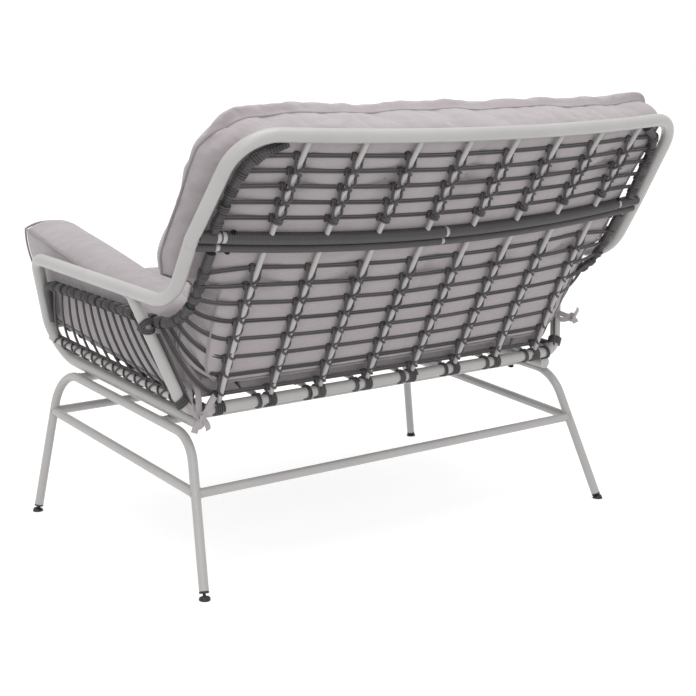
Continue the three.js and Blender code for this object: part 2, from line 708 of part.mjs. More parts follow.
// Back cushion: lies on the weave, narrow between the arms and spread over the loops above them.
// Its corners are rounded, and two rows of tufts draw in its crowned face
const backRest = Math.max(rowLift + strand / 2, shellTube / 2) + cushionRest;
const [backLowShare, backHighShare] = backHeightShares;
const backTall = backHeight * (backHighShare - backLowShare);
const backFrontX = seamX + backOverLoop;
const backRearX = seamX - backInsideLoop;
const sheetFoot = backPoint(0, 0);
const sheetHead = backPoint(0, 1);
function backPlace(u, v, w) {
  const [levelShare, outlineShare] = backOutlineShares[Math.round(v * (backOutlineShares.length - 1))];
  const half = mix(Math.min(backRearX, backFrontX * outlineShare), backFrontX * outlineShare, w);
  const across = (2 * u - 1) * half;
  const level = (levelShare - 0.5) * backTall;
  const inX = half - backCorner;
  const inV = backTall / 2 - backCorner;
  const overX = Math.max(0, Math.abs(across) - inX) / backCorner;
  const overV = Math.max(0, Math.abs(level) - inV) / backCorner;
  const roundX = backCorner * overX * Math.sqrt(1 - overV ** 2 / 2);
  const roundV = backCorner * overV * Math.sqrt(1 - overX ** 2 / 2);
  const swell = Math.sin(Math.PI * w) * sideSwell * overX - sidePull * dome(levelShare, 2) * overX;
  const x = Math.sign(across) * (Math.min(Math.abs(across), inX) + roundX + swell);
  const y = Math.sign(level) * (Math.min(Math.abs(level), inV) + roundV);
  const tufts = tuftAcrossShares.reduce((sum, tuftU) => sum + tuftUpShares.reduce((column, tuftV) => {
    const far = Math.hypot((u - tuftU) * 2 * half, (levelShare - tuftV) * backTall) / tuftSpread;
    return column + Math.exp(-2 * far ** 2);
  }, 0), 0);
  const front = w === 1 ? backCrown * dome(u, 6) * dome(levelShare, 6) - tuftDepth * tufts : 0;
  const levelTop = (topDropZ / backHeight) * (x / topCornerX) ** 2;
  const share = mix(backLowShare, backHighShare - levelTop, y / backTall + 0.5);
  const flat = mixV(sheetFoot, sheetHead, share).setX(x);
  flat.addScaledVector(backForward, backRest + backThick + front);
  return mixV(backPoint(x, share, backRest), flat, w);
}
const backCushion = sides.reduce(
  (left, [, side]) => left.subtract(behindFan(side)),
  block(backCellsAcross, backOutlineShares.length - 1, 2, backPlace),
);
add("back_cushion", toGeometry(largest(backCushion)), fabric);

// Seat and arm cushions lie on the deck weave. Under the back cushion they run out in a wedge
const deckRest = deckLift + strand / 2 + cushionRest;
const toe = backPoint(0, backLowShare, backRest + backThick);
const stepY = toe.y - cushionGap;
function deckAt(x, y) {
  const front = frontRailAt(x);
  return deckPoint(x, (y - front.y) / (rearRailY - front.y), deckRest);
}
const backRise = V(0, backForward.z, -backForward.y);
function wedgeAt(x, t) {
  const heel = backPoint(0, backLowShare, backRest);
  const ground = deckAt(x, mix(stepY, heel.y - wedgeInset, t));
  const height = (heel.clone().sub(ground).dot(backRise) - cushionRest) / backRise.z;
  return { ground, height };
}

// Cells along a seat cushion, of which the last few make the wedge
function lengthwise(v, cells, frontY, x) {
  const whole = cells - wedgeCells;
  const j = Math.round(v * cells);
  if (j > whole) return { ...wedgeAt(x, (j - whole - 1) / (wedgeCells - 1)), share: 1, wedge: true };
  return { ground: deckAt(x, mix(frontY, stepY - cushionGap, j / whole)), share: j / whole, wedge: false };
}

const seatHalfX = armCushionBottomX - armCushionWidth - cushionGap / 2;
function seatPlace(u, v, w) {
  const edge = Math.abs(2 * u - 1) === 1 ? Math.sign(2 * u - 1) : 0;
  const x = (2 * u - 1) * seatHalfX;
  const { ground, height, share, wedge } = lengthwise(v, seatCells, seatFrontY, x);
  const crown = wedge || w < 1 ? 0 : seatCrown * dome(u, 6) * dome(share, 4);
  const side = edge * (Math.sin(Math.PI * w) * sideSwell - sidePull * dome(share, 2));
  return ground.add(V(side, 0, w * (wedge ? height : seatThick) + crown));
}
add("seat_cushion", toGeometry(block(seatCellsAcross, seatCells, 2, seatPlace)), fabric);

function armPlace(across, v, w) {
  const topX = mix(armCushionTopX, armCushionTopRearX, v);
  const outerX = mix(armCushionBottomX, topX, w) - (1 - across) * armCushionWidth;
  const { ground, height, share, wedge } = lengthwise(v, armCells, armCushionFrontY, outerX);
  if (wedge) return wedgePoint(outerX, v, w);
  const ends = Math.min(1, 4 * dome(mix(0.04, 0.96, share), 2));
  const crown = w === 1 ? armCushionCrown * dome(across, 2) * ends : 0;
  const lean = w * mix(-armCushionLean, 0, share);
  const tall = mix(armCushionFrontHeight, armCushionRearHeight, share);
  return ground.add(V(0, lean, w * tall + crown));
}
function wedgePoint(outerX, v, w) {
  const x = Math.min(outerX, armWedgeX);
  const { ground, height } = lengthwise(v, armCells, armCushionFrontY, x);
  return ground.add(V(0, 0, w * height));
}
sides.forEach(([hand, side]) => {
  const place = (u, v, w) => flip(armPlace(side > 0 ? u : 1 - u, v, w), side);
  add(`arm_cushion_${hand}`, toGeometry(block(armCellsAcross, armCells, 2, place)), fabric);
});

// The origin goes on the ground below the middle of the whole outline
const middle = new THREE.Box3().setFromObject(sofa).getCenter(V(0, 0, 0));
sofa.children.forEach((mesh) => mesh.geometry.translate(0, -middle.y, 0));

export default sofa;
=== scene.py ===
# %% [markdown]
# # A wicker garden sofa
# The sofa has a shell of bent steel tube, a back and sides woven from round plastic strand, loose
# padded cushions, and a tube base on four glides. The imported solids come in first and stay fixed.
# Every piece below is built round them, in metres, in the same frame.

# %% Load the frame
import math
import random

import bmesh
import bpy
from mathutils import Matrix, Quaternion, Vector


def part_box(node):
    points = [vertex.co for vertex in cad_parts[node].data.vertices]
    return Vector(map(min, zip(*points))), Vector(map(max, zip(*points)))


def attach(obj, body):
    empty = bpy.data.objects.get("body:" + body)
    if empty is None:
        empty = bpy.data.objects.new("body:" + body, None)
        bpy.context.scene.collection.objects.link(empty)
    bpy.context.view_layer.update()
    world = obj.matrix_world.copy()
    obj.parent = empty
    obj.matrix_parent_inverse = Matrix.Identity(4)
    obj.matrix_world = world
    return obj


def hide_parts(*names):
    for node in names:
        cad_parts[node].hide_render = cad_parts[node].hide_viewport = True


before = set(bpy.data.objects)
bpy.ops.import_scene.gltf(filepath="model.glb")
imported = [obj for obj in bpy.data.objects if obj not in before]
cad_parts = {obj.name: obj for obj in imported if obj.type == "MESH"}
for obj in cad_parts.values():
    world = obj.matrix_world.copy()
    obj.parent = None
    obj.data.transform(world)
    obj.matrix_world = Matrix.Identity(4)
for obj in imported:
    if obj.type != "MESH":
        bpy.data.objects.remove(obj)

random.seed(7)
MM = 0.001
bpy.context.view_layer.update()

# %% [markdown]
# The builder's drawing counts lengths along the sofa from midway between its feet, while the frame's
# origin lies under the middle of the whole outline. One known tube tells how far apart the two are,
# so sizes in millimetres can be copied straight from the drawing.

# %% Drawing millimetres to frame metres
FRONT_CROSS_Y = -223
low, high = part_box("front_cross_tube")
SHIFT_Y = (low.y + high.y) / 2 / MM - FRONT_CROSS_Y


def mm(x, y, z):
    return Vector((x, y + SHIFT_Y, z)) * MM


def mixed(a, b, t):
    return a + (b - a) * t


def mirrored(points, side):
    return [Vector((p.x * side, p.y, p.z)) for p in points]


def evenly(first, last, count):
    return [mixed(first, last, i / (count - 1)) for i in range(count)]


def placed(name, data):
    """Adds an object with this data to the scene."""
    thing = bpy.data.objects.new(name, data)
    bpy.context.scene.collection.objects.link(thing)
    return thing


def mesh_of(bm, name):
    mesh = bpy.data.meshes.new(name)
    bm.to_mesh(mesh)
    return mesh


SIDES = (("left", 1), ("right", -1))
print("shift along Y:", round(SHIFT_Y, 2), "mm")

# %% [markdown]
# The camera stands behind the sofa, a little above the top rail, where the photographer stood. Its
# place and lens were worked out from the straight tubes and the four feet.

# %% Camera
AZIMUTH = math.radians(142.68)
ELEVATION = math.radians(11.51)
ROLL = math.radians(0.12)
CAMERA_PLACE = mm(1786, 2427, 957)
LENS = 75.2
SENSOR_WIDTH = 36
camera_data = bpy.data.cameras.new("camera")
camera = placed("camera", camera_data)
looking = Vector((-math.sin(AZIMUTH) * math.cos(ELEVATION),
                  math.cos(AZIMUTH) * math.cos(ELEVATION), -math.sin(ELEVATION)))
camera.rotation_mode = "QUATERNION"
camera.rotation_quaternion = looking.to_track_quat("-Z", "Y") @ Quaternion((0, 0, 1), ROLL)
camera.location = CAMERA_PLACE
camera_data.sensor_width = SENSOR_WIDTH
camera_data.lens = LENS
bpy.context.scene.camera = camera
print("camera at", tuple(round(v, 3) for v in camera.location))

# %% [markdown]
# Shader maths reads best as plain sums, so one small class wraps a node's output and adds a Math
# node for every sign. Everything else comes from one method that makes any node by its type.

# %% A finish and its terms
class Term:
    def __init__(self, finish, socket):
        self.finish = finish
        self.socket = socket

    def maths(self, operation, a, b):
        return self.finish.node("Math", {"operation": operation}, {0: a, 1: b})

    def __add__(self, other):
        return self.maths("ADD", self, other)

    def __sub__(self, other):
        return self.maths("SUBTRACT", self, other)

    def __rsub__(self, other):
        return self.maths("SUBTRACT", other, self)

    def __mul__(self, other):
        return self.maths("MULTIPLY", self, other)

    __radd__ = __add__
    __rmul__ = __mul__


class Finish:
    def __init__(self, name, **shader_values):
        self.material = bpy.data.materials.new(name)
        self.material.use_nodes = True
        self.tree = self.material.node_tree
        self.shader = self.tree.nodes["Principled BSDF"]
        for socket, value in shader_values.items():
            self.shader.inputs[socket.replace("_", " ")].default_value = value

    def plug(self, socket, value):
        if isinstance(value, Term):
            self.tree.links.new(value.socket, socket)
        else:
            socket.default_value = value

    def node(self, kind, settings=None, sockets=None, output=0):
        node = self.tree.nodes.new("ShaderNode" + kind)
        for key, value in (settings or {}).items():
            if key == "ramp":
                stops = node.color_ramp.elements
                stops[0].position, stops[0].color = value[0]
                stops[1].position, stops[1].color = value[-1]
                for place, colour in value[1:-1]:
                    stops.new(place).color = colour
            else:
                setattr(node, key, value)
        for key, value in (sockets or {}).items():
            self.plug(node.inputs[key], value)
        return Term(self, node.outputs[output])

    def noise(self, vector, scale, detail=2.0, roughness=0.5):
        return self.node("TexNoise", {}, {"Vector": vector, "Scale": scale, "Detail": detail,
                                          "Roughness": roughness})

    def blend(self, amount, a, b):
        return self.node("Mix", {"data_type": "RGBA"}, {0: amount, 6: a, 7: b}, output=2)

    def between(self, value, low, high):
        return self.node("MapRange", {"interpolation_type": "SMOOTHSTEP"},
                         {"Value": value, "From Min": low, "From Max": high})

    def place(self):
        return self.node("TexCoord", output=3)

    def own(self, name, output=1):
        return self.node("Attribute", {"attribute_name": name}, output=output)

    def set(self, socket, value):
        self.plug(self.shader.inputs[socket], value)

    def bump(self, height, distance, strength=1.0):
        self.set("Normal", self.node("Bump", {}, {"Height": height, "Distance": distance,
                                                  "Strength": strength}))


def grey(value, red=0.0, blue=0.0):
    return (value + red, value, value + blue, 1)


# %% [markdown]
# The frame's paint is a light warm grey powder coat. Powder melts into a skin with a very fine
# orange peel, which shows as broken highlights, and its tone drifts slightly from bend to bend.

# %% Powder-coat paint
paint = Finish("powder_coat", Specular_IOR_Level=0.5, Coat_Roughness=0.25)
spot = paint.place()
drift = paint.noise(spot, 9, 3)
peel = paint.noise(spot, 900, 2)
dust = paint.noise(spot, 60, 5, 0.65)
tone = paint.blend(drift, grey(0.315, 0.010, -0.006), grey(0.37, 0.010, -0.005))
dusty_paint = paint.blend(paint.between(dust, 0.55, 0.8) * 0.35, tone, grey(0.29, 0.01, -0.010))
paint.set("Base Color", dusty_paint)
paint.set("Roughness", 0.30 + dust * 0.16)
paint.set("Coat Weight", 0.25 + drift * 0.15)
paint.bump(peel, 0.00012, 0.6)
print("finish:", paint.material.name)

# %% [markdown]
# The strands are round extruded plastic, charcoal with a brown cast. The die leaves fine lines along
# each strand. The lines have to follow every bend, so each strand carries its own coordinates: how
# far along it a point is, and where round the section. A tone below nothing is painted shade: it darkens
# the groove between two turns of a winding, where no light gets in.

# %% Wicker strand
GRAIN = "grain"
TONE_AND_GROOVE_SHADE = "tone"
DARKEST_GROOVE_SHADE = -0.9
wicker = Finish("wicker_strand", Specular_IOR_Level=0.45)
grain = wicker.own(GRAIN)
tone = wicker.own(TONE_AND_GROOVE_SHADE, output=2)
lines = wicker.noise(wicker.node("Mapping", {}, {"Vector": grain, "Scale": (14, 1300, 1300)}), 1, 3, 0.6)
patch = wicker.noise(wicker.node("Mapping", {}, {"Vector": grain, "Scale": (40, 60, 60)}), 1, 3)
dark, light = grey(0.026, 0.002, 0.000), grey(0.072, 0.005, 0.000)
strand = wicker.blend(lines * 0.55 + patch * 0.25 + tone * 0.4 - 0.1, dark, light)
# Tones below nothing blend towards near black: painted shade in the grooves of a winding.
wicker.set("Base Color", wicker.blend(wicker.between(tone, 0.0, DARKEST_GROOVE_SHADE), strand, grey(0.006)))
wicker.set("Roughness", 0.36 + lines * 0.25)
wicker.bump(lines, 0.0003, 0.7)
print("finish:", wicker.material.name)

# %% [markdown]
# The cushions wear a plain-woven outdoor cloth in a pinkish light grey. Seen close, two sets of
# threads cross, some thicker than others, and their shades mix like heather. Larger, softer noise
# stands for the creases that no mesh here is fine enough to hold.

# %% Cushion cloth
THREAD_PITCH = 0.0011
THREAD_RISE, SLUB_RISE = 0.00022, 0.0002


def cloth(name, light, dark, crease, fold=0.0):
    finish = Finish(name, Specular_IOR_Level=0.25, Sheen_Weight=0.35, Sheen_Roughness=0.5)
    spot = finish.place()
    turn = 2 * math.pi / THREAD_PITCH
    split = finish.node("SeparateXYZ", {}, {0: spot})
    x, y, z = (Term(finish, split.socket.node.outputs[i]) for i in range(3))
    warp = finish.node("Math", {"operation": "SINE"}, {0: (x + y * 0.35) * turn})
    weft = finish.node("Math", {"operation": "SINE"}, {0: (z + y * 0.8) * turn})
    slub_up = finish.noise(finish.node("Mapping", {}, {"Vector": spot, "Scale": (900, 900, 90)}), 1, 2)
    slub_across = finish.noise(finish.node("Mapping", {}, {"Vector": spot, "Scale": (90, 200, 900)}), 1, 2)
    worn = finish.noise(spot, 14, 4)
    mottled = slub_up * 0.45 + slub_across * 0.45 + worn * 0.25 - 0.05
    finish.set("Base Color", finish.blend(mottled, dark, light))
    finish.set("Roughness", 0.86 + slub_up * 0.1)
    creases = finish.noise(spot, 26, 3, 0.55)
    folds = finish.noise(finish.node("Mapping", {}, {"Vector": spot, "Scale": (5, 13, 21)}), 1, 2)
    weave = warp * weft * 0.5 + 0.5
    threads = weave * THREAD_RISE + slub_up * SLUB_RISE
    finish.bump(threads + creases * crease + folds * fold, 1.0, 0.8)
    return finish


fabric = cloth("cushion_cloth", grey(0.33, 0.036, 0.010), grey(0.245, 0.028, 0.008), 0.004, 0.014)
# Piping, tuft stitches and end seams take a darker cloth than the cover: painted shade for the shadowed gap
# along the seams.
seam_cloth_painted_shade = cloth("seam_cloth_painted_shade", grey(0.235, 0.024, 0.006), grey(0.17, 0.018, 0.005), 0.0)
tape_cloth = cloth("tape_cloth", grey(0.35, 0.036, 0.010), grey(0.26, 0.028, 0.008), 0.0008)
print("finishes:", fabric.material.name, seam_cloth_painted_shade.material.name, tape_cloth.material.name)

# %% [markdown]
# Plugs and glides are black moulded plastic, slightly pebbled and greyed with dust near the ground.
# The bolts have a black coating that is rubbed bright on the edges by the spanner.

# %% Black plastic and coated steel
plastic = Finish("black_plastic", Specular_IOR_Level=0.45)
spot = plastic.place()
pebble = plastic.noise(spot, 1500, 2)
dusty = plastic.noise(spot, 120, 4)
plastic.set("Base Color", plastic.blend(plastic.between(dusty, 0.45, 0.8) * 0.5,
                                        grey(0.012), grey(0.05, 0.004, -0.004)))
plastic.set("Roughness", 0.38 + dusty * 0.25)
plastic.bump(pebble, 0.0001, 0.6)

bolt_steel = Finish("coated_steel", Metallic=0.9)
spot = bolt_steel.place()
rubbed = bolt_steel.between(bolt_steel.noise(spot, 260, 4, 0.7), 0.55, 0.72)
bolt_steel.set("Base Color", bolt_steel.blend(rubbed, grey(0.02), grey(0.22)))
bolt_steel.set("Roughness", 0.5 - rubbed * 0.18)
bolt_steel.bump(bolt_steel.noise(spot, 800, 2), 0.00008, 0.5)
print("finishes:", plastic.material.name, bolt_steel.material.name)

# %% [markdown]
# Almost everything here is a round bar bent along a line: tubes, rods and strands. In the workshop
# such a bar is drawn and bent. Here a circle of edges is extruded ring by ring along the line and
# turned with it, without twist. Each corner writes down its place along and round the bar, for the
# strand finish.

# %% Bars along a line
GROOVE_SHADE = 1.4


def corners_in(geometry):
    return [g for g in geometry if isinstance(g, bmesh.types.BMVert)]


def edges_in(geometry):
    return [g for g in geometry if isinstance(g, bmesh.types.BMEdge)]


def tangents_of(points, closed):
    """The direction at each point, halfway between those of the two steps that meet there."""
    count = len(points)
    steps = [(points[(i + 1) % count] - points[i]).normalized() for i in range(count)]
    if not closed:
        steps[-1] = steps[-2]
    tangents = [steps[0]] + [(steps[i - 1] + steps[i]).normalized() for i in range(1, count)]
    if closed:
        tangents[0] = (steps[-1] + steps[0]).normalized()
    return tangents


class Maker:
    def __init__(self):
        self.bm = bmesh.new()
        self.grain = self.bm.verts.layers.float_vector.new(GRAIN)
        self.tone = self.bm.verts.layers.float.new(TONE_AND_GROOVE_SHADE)

    def next_ring(self, ring, edges):
        """Extrudes a ring and gives its new corners, in the order of the old ones, and its edges."""
        grown = bmesh.ops.extrude_edge_only(self.bm, edges=edges)["geom"]
        before = {v: n for n, v in enumerate(ring)}
        order = [None] * len(ring)
        for v in corners_in(grown):
            for e in v.link_edges:
                old = e.other_vert(v)
                if old in before:
                    order[before[old]] = v
        return order, edges_in(grown)

    def bar(self, points, radius, sides=12, swell=None, tone=None, closed=False, lean=None, squash=1):
        """A round bar along points, in metres. swell(distance, angle) adds to the radius. Lean is the
        way a flattened bar is wide at its start, and squash its thickness as a share of its width."""
        tone = random.random() if tone is None else tone
        points = [Vector(p) for p in points]
        tangents = tangents_of(points, closed)
        aside = lean or (Vector((0, 0, 1)) if abs(tangents[0].z) < 0.9 else Vector((1, 0, 0)))
        aside = (aside - tangents[0] * aside.dot(tangents[0])).normalized()
        circle = bmesh.ops.create_circle(self.bm, cap_ends=not closed, radius=1, segments=sides)
        ring = first = circle["verts"]
        edges = list({e for v in ring for e in v.link_edges})
        if not closed:
            bmesh.ops.reverse_faces(self.bm, faces=ring[0].link_faces[:])
        far = 0.0
        turns = [i * 2 * math.pi / sides for i in range(sides)]
        for i, (p, t) in enumerate(zip(points, tangents)):
            if i:
                aside = (aside - t * aside.dot(t)).normalized()
                far += (p - points[i - 1]).length
                ring, edges = self.next_ring(ring, edges)
            up = t.cross(aside)
            for v, turn in zip(ring, turns):
                rise = swell(far, turn) if swell else 0
                c, s = math.cos(turn), math.sin(turn)
                v.co = p + (aside * c + up * s * squash) * (radius + rise)
                v[self.grain] = Vector((far, c * radius, s * radius))
                # Where the radius dips, the tone drops below nothing: painted groove shade, added to the
                # strand's own tone.
                v[self.tone] = tone + min(0, rise / MM) * GROOVE_SHADE
        if closed:
            rim = [e for e in {e for v in first for e in v.link_edges}
                   if all(v in first for v in e.verts)]
            bmesh.ops.bridge_loops(self.bm, edges=edges + rim)
        else:
            bmesh.ops.contextual_create(self.bm, geom=edges)

    def finish(self, name, finish, slot, stands_for=(), body="sofa", angle=40):
        """Turns what was made into a piece of a finish that rides on a body; the slot is not used. It stands
        for the named solids. Edges sharper than the angle, in degrees, stay crisp."""
        bmesh.ops.recalc_face_normals(self.bm, faces=self.bm.faces)
        mesh = mesh_of(self.bm, name)
        self.bm.free()
        for polygon in mesh.polygons:
            polygon.use_smooth = True
        mesh.set_sharp_from_angle(angle=math.radians(angle))
        piece = placed(name, mesh)
        piece.data.materials.append(finish.material)
        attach(piece, body)
        if stands_for:
            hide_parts(*stands_for)
        return piece


# %% [markdown]
# A tube bender leaves every corner with one radius. This helper rounds the corners of a line that
# way, so each tube is written as the few points where its straights would meet.

# %% Rounded corners and walks along a line
LONGEST_REACH = 0.48


def bent(corners, radii, step=math.radians(5)):
    """A line through corners given in metres, each rounded to a radius in millimetres. A bend takes up
    less than half of each straight beside it, and gets a smaller radius where that is too short."""
    points = [corners[0].copy()]
    for i in range(1, len(corners) - 1):
        into, out = corners[i] - corners[i - 1], corners[i + 1] - corners[i]
        room = min(into.length, out.length) * LONGEST_REACH
        into, out = into.normalized(), out.normalized()
        angle = into.angle(out)
        radius = radii[i - 1] * MM if isinstance(radii, (list, tuple)) else radii * MM
        reach = min(radius * math.tan(angle / 2), room)
        radius = reach / math.tan(angle / 2)
        start = corners[i] - into * reach
        centre = corners[i] + (out - into).normalized() * radius / math.cos(angle / 2)
        axis = into.cross(out).normalized()
        count = max(3, math.ceil(angle / step))
        for k in range(count + 1):
            points.append(centre + Quaternion(axis, angle * k / count) @ (start - centre))
    points.append(corners[-1].copy())
    return points


def length_of(points):
    return sum((b - a).length for a, b in zip(points, points[1:]))


def walk(points, distance):
    """The point a distance along a line, and the direction there."""
    for a, b in zip(points, points[1:]):
        step = (b - a).length
        if distance <= step:
            return a.lerp(b, distance / step), (b - a).normalized()
        distance -= step
    return points[-1].copy(), (points[-1] - points[-2]).normalized()


def refined(points, spacing):
    """The same line with a point every spacing metres."""
    count = max(2, round(length_of(points) / spacing))
    return [walk(points, length_of(points) * i / count)[0] for i in range(count + 1)]


def smoothed(points, parts=6):
    """A smooth line through the points."""
    ends = [points[0] * 2 - points[1]] + points + [points[-1] * 2 - points[-2]]
    line = []
    for a, b, c, d in zip(ends, ends[1:], ends[2:], ends[3:]):
        for k in range(parts):
            t = k / parts
            line.append(0.5 * (2 * b + (c - a) * t + (2 * a - 5 * b + 4 * c - d) * t ** 2
                               + (3 * b - a - 3 * c + d) * t ** 3))
    return line + [points[-1].copy()]


# %% [markdown]
# The base is two leg loops, joined low down by stretchers and on top by two cross tubes that carry
# the shell. All its tubes are welded, so a small bead runs round each joint.

# %% Base lines
BASE_TUBE, SHELL_TUBE, POST_TUBE, INNER_TUBE, BORDER_TUBE = 18, 25, 22, 16, 15
BAR_TUBES = {"lower": 17, "upper": 23}
FRONT_RAIL, ROD, GAP = 18, 10, 0.3
GROUND = {"front": mm(515, -326, 0), "rear": mm(504, 326, 0)}
CORNER_X = 462
CORNER = {"front": mm(CORNER_X, -300, 306), "rear": mm(CORNER_X, 219, 270)}
FRONT_JOINT_Z, REAR_JOINT_Z = 217, 174
LEG_BEND = 78
REAR_CROSS_Y = 110
GLIDE_OUT = {1: 4, -1: 0}
GLIDE_HEIGHT, FLANGE = 7, 4


def up_leg(end):
    return (CORNER[end] - GROUND[end]).normalized()


def leg_line(side):
    low = (GLIDE_HEIGHT + GAP + FLANGE + GLIDE_OUT[side]) * MM
    front, rear = (GROUND[end] + up_leg(end) * low for end in ("front", "rear"))
    return mirrored(bent([front, CORNER["front"], CORNER["rear"], rear], LEG_BEND), side)


def at_height(a, b, z):
    return a.lerp(b, (z * MM - a.z) / (b.z - a.z))


FRONT_JOINT = at_height(GROUND["front"], CORNER["front"], FRONT_JOINT_Z)
REAR_JOINT = at_height(GROUND["rear"], CORNER["rear"], REAR_JOINT_Z)
SLOPE = (CORNER["front"].z - CORNER["rear"].z) / (CORNER["rear"].y - CORNER["front"].y)


def base_z(y):
    return CORNER["front"].z / MM - SLOPE * (y + SHIFT_Y - CORNER["front"].y / MM)


def on_x(p, x):
    return Vector((x * MM, p.y, p.z))


# %% [markdown]
# A weld bead follows the line where one tube's skin meets the other's. For each angle round the
# first tube, a ray along its axis is met with the second tube's cylinder.

# %% Weld beads
BEAD_STEPS, BEAD_OUT = 28, 0.2
RIPPLE, RIPPLE_LENGTH = 0.25, 1.3


def ripple(far, turn):
    return RIPPLE * MM * math.sin(far / (RIPPLE_LENGTH * MM))


def weld(maker, end, direction, radius, other, along, other_radius, bead=1.5):
    """A bead round a tube of a radius that runs along direction into another tube's skin."""
    direction, along = direction.normalized(), along.normalized()
    aside = direction.orthogonal().normalized()
    up = direction.cross(aside)
    ring = []
    for i in range(BEAD_STEPS):
        turn = i * 2 * math.pi / BEAD_STEPS
        start = end + (aside * math.cos(turn) + up * math.sin(turn)) * radius * MM
        gap = start - other
        flat, travel = gap - along * gap.dot(along), direction - along * direction.dot(along)
        a, b = travel.dot(travel), 2 * flat.dot(travel)
        c = flat.dot(flat) - ((other_radius + BEAD_OUT) * MM) ** 2
        root = b * b - 4 * a * c
        ring.append(start + direction * (-b - math.sqrt(max(root, 0))) / (2 * a))
    maker.bar(ring, bead * MM, 6, swell=ripple, tone=0.5, closed=True)


def tube_piece(name, line, diameter, node, welds=(), sides=24):
    maker = Maker()
    maker.bar(line, diameter / 2 * MM, sides, tone=0.5)
    for bead in welds:
        weld(maker, *bead)
    maker.finish(name, paint, "frame_paint", [node])


for hand, side in SIDES:
    tube_piece(f"base_leg_loop_{hand}", leg_line(side), BASE_TUBE, f"leg_loop_{hand}")
print("leg loops:", round(length_of(leg_line(1)), 3), "m each")

# %% [markdown]
# Six straight tubes make the base stiff: four stretchers, one on each side and one at each end, and
# the two cross tubes that the shell rests on. Each ends just inside the tube that it is welded to.

# %% Stretchers and cross tubes
BASE_RADIUS = BASE_TUBE / 2


def straight_tube(name, node, a, b, carriers):
    """A base tube from a to b. Carriers are the directions of the tubes that it meets there."""
    middle = (a + b) / 2
    beads = [(middle, end - middle, BASE_RADIUS, end, along, BASE_RADIUS)
             for end, along in zip((a, b), carriers)]
    cut = (b - a).normalized() * BASE_RADIUS / 2 * MM
    tube_piece(name, [a + cut, b - cut], BASE_TUBE, node, beads)


for hand, side in SIDES:
    a, b, *legs = mirrored([FRONT_JOINT, REAR_JOINT, up_leg("front"), up_leg("rear")], side)
    straight_tube(f"side_stretcher_tube_{hand}", f"side_stretcher_{hand}", a, b, legs)
for end, joint in (("front", FRONT_JOINT), ("rear", REAR_JOINT)):
    (a, b), legs = zip(*(mirrored([joint, up_leg(end)], side) for hand, side in SIDES))
    straight_tube(f"{end}_stretcher_tube", f"{end}_stretcher", a, b, legs)
RAIL_DIRECTION = (CORNER["rear"] - CORNER["front"]).normalized()
for end, y in (("front", FRONT_CROSS_Y), ("rear", REAR_CROSS_Y)):
    a, b = (mm(CORNER_X * side, y, base_z(y)) for hand, side in SIDES)
    straight_tube(f"{end}_cross_tube_round", f"{end}_cross_tube", a, b, [RAIL_DIRECTION] * 2)
print("stretchers and cross tubes: 6")

# %% [markdown]
# Each leg ends in a pressed plug with a flange the size of the tube, and a glide screwed into it.
# Both are turned shapes, so a half outline is spun round the leg's axis. The pad's underside lies
# flat on the floor, across the slanted axis.

# %% Plugs and glides
def spun(maker, outline, origin, axis, sides=32):
    """Spins an outline of (radius, height) in millimetres round an axis."""
    aside = axis.orthogonal().normalized()
    verts = [maker.bm.verts.new(origin + (aside * r + axis * h) * MM) for r, h in outline]
    edges = [maker.bm.edges.new(pair) for pair in zip(verts, verts[1:])]
    bmesh.ops.spin(maker.bm, geom=verts + edges, axis=axis, cent=origin, angle=2 * math.pi,
                   steps=sides, use_merge=True, use_duplicate=False)
    bmesh.ops.remove_doubles(maker.bm, verts=maker.bm.verts, dist=1e-6)


GLIDE_OUTLINE = [(0, -7), (10.5, -7), (10.5, 2.6), (10.1, 4), (9.2, 5.2), (7.8, 6.2), (6, 7),
                 (3, 7), (2.9, 8), (2.9, 26.4), (2.3, 27), (0, 27)]


def plug_outline(low, top):
    """Half of a plug's section: the bore for the glide's stem, the flange and the neck in the tube."""
    bore, neck, flange = 3.4, 7.1, 9
    return [(bore, top + 20), (bore, low + 0.6), (4, low), (8.2, low), (flange, low + 0.8),
            (flange, top - 0.5), (8.7, top - 0.2), (neck, top - 0.2), (neck, top + 23),
            (6, top + 24), (bore, top + 24), (bore, top + 20)]


def cut_level(maker):
    """Cuts away what lies under the floor and closes the cut."""
    everything = maker.bm.verts[:] + maker.bm.edges[:] + maker.bm.faces[:]
    cut = bmesh.ops.bisect_plane(maker.bm, geom=everything, dist=1e-7, plane_co=(0, 0, 0),
                                 plane_no=(0, 0, -1), clear_outer=True)["geom_cut"]
    bmesh.ops.contextual_create(maker.bm, geom=edges_in(cut))


for end in ("front", "rear"):
    for hand, side in SIDES:
        origin, axis = mirrored([GROUND[end], up_leg(end)], side)
        low = GLIDE_HEIGHT + GAP + GLIDE_OUT[side]
        plug = Maker()
        spun(plug, plug_outline(low, low + FLANGE), origin, axis)
        plug.finish(f"plug_{end}_{hand}", plastic, "foot_plastic", [f"foot_plug_{end}_{hand}"])
        glide = Maker()
        spun(glide, GLIDE_OUTLINE, origin, axis)
        cut_level(glide)
        glide.finish(f"glide_pad_{end}_{hand}", plastic, "glide_plastic", [f"glide_{end}_{hand}"],
                     body=f"glide_{end}_{hand}")
print("plugs and glides: 8")

# %% [markdown]
# The shell has two arm loops, each running over the arm, down the upright and back along the seat,
# and an upper back loop plugged on them. The rear rail turns up at its ends into posts that meet
# the arms. Their lines come from the same corner points as the drawing.

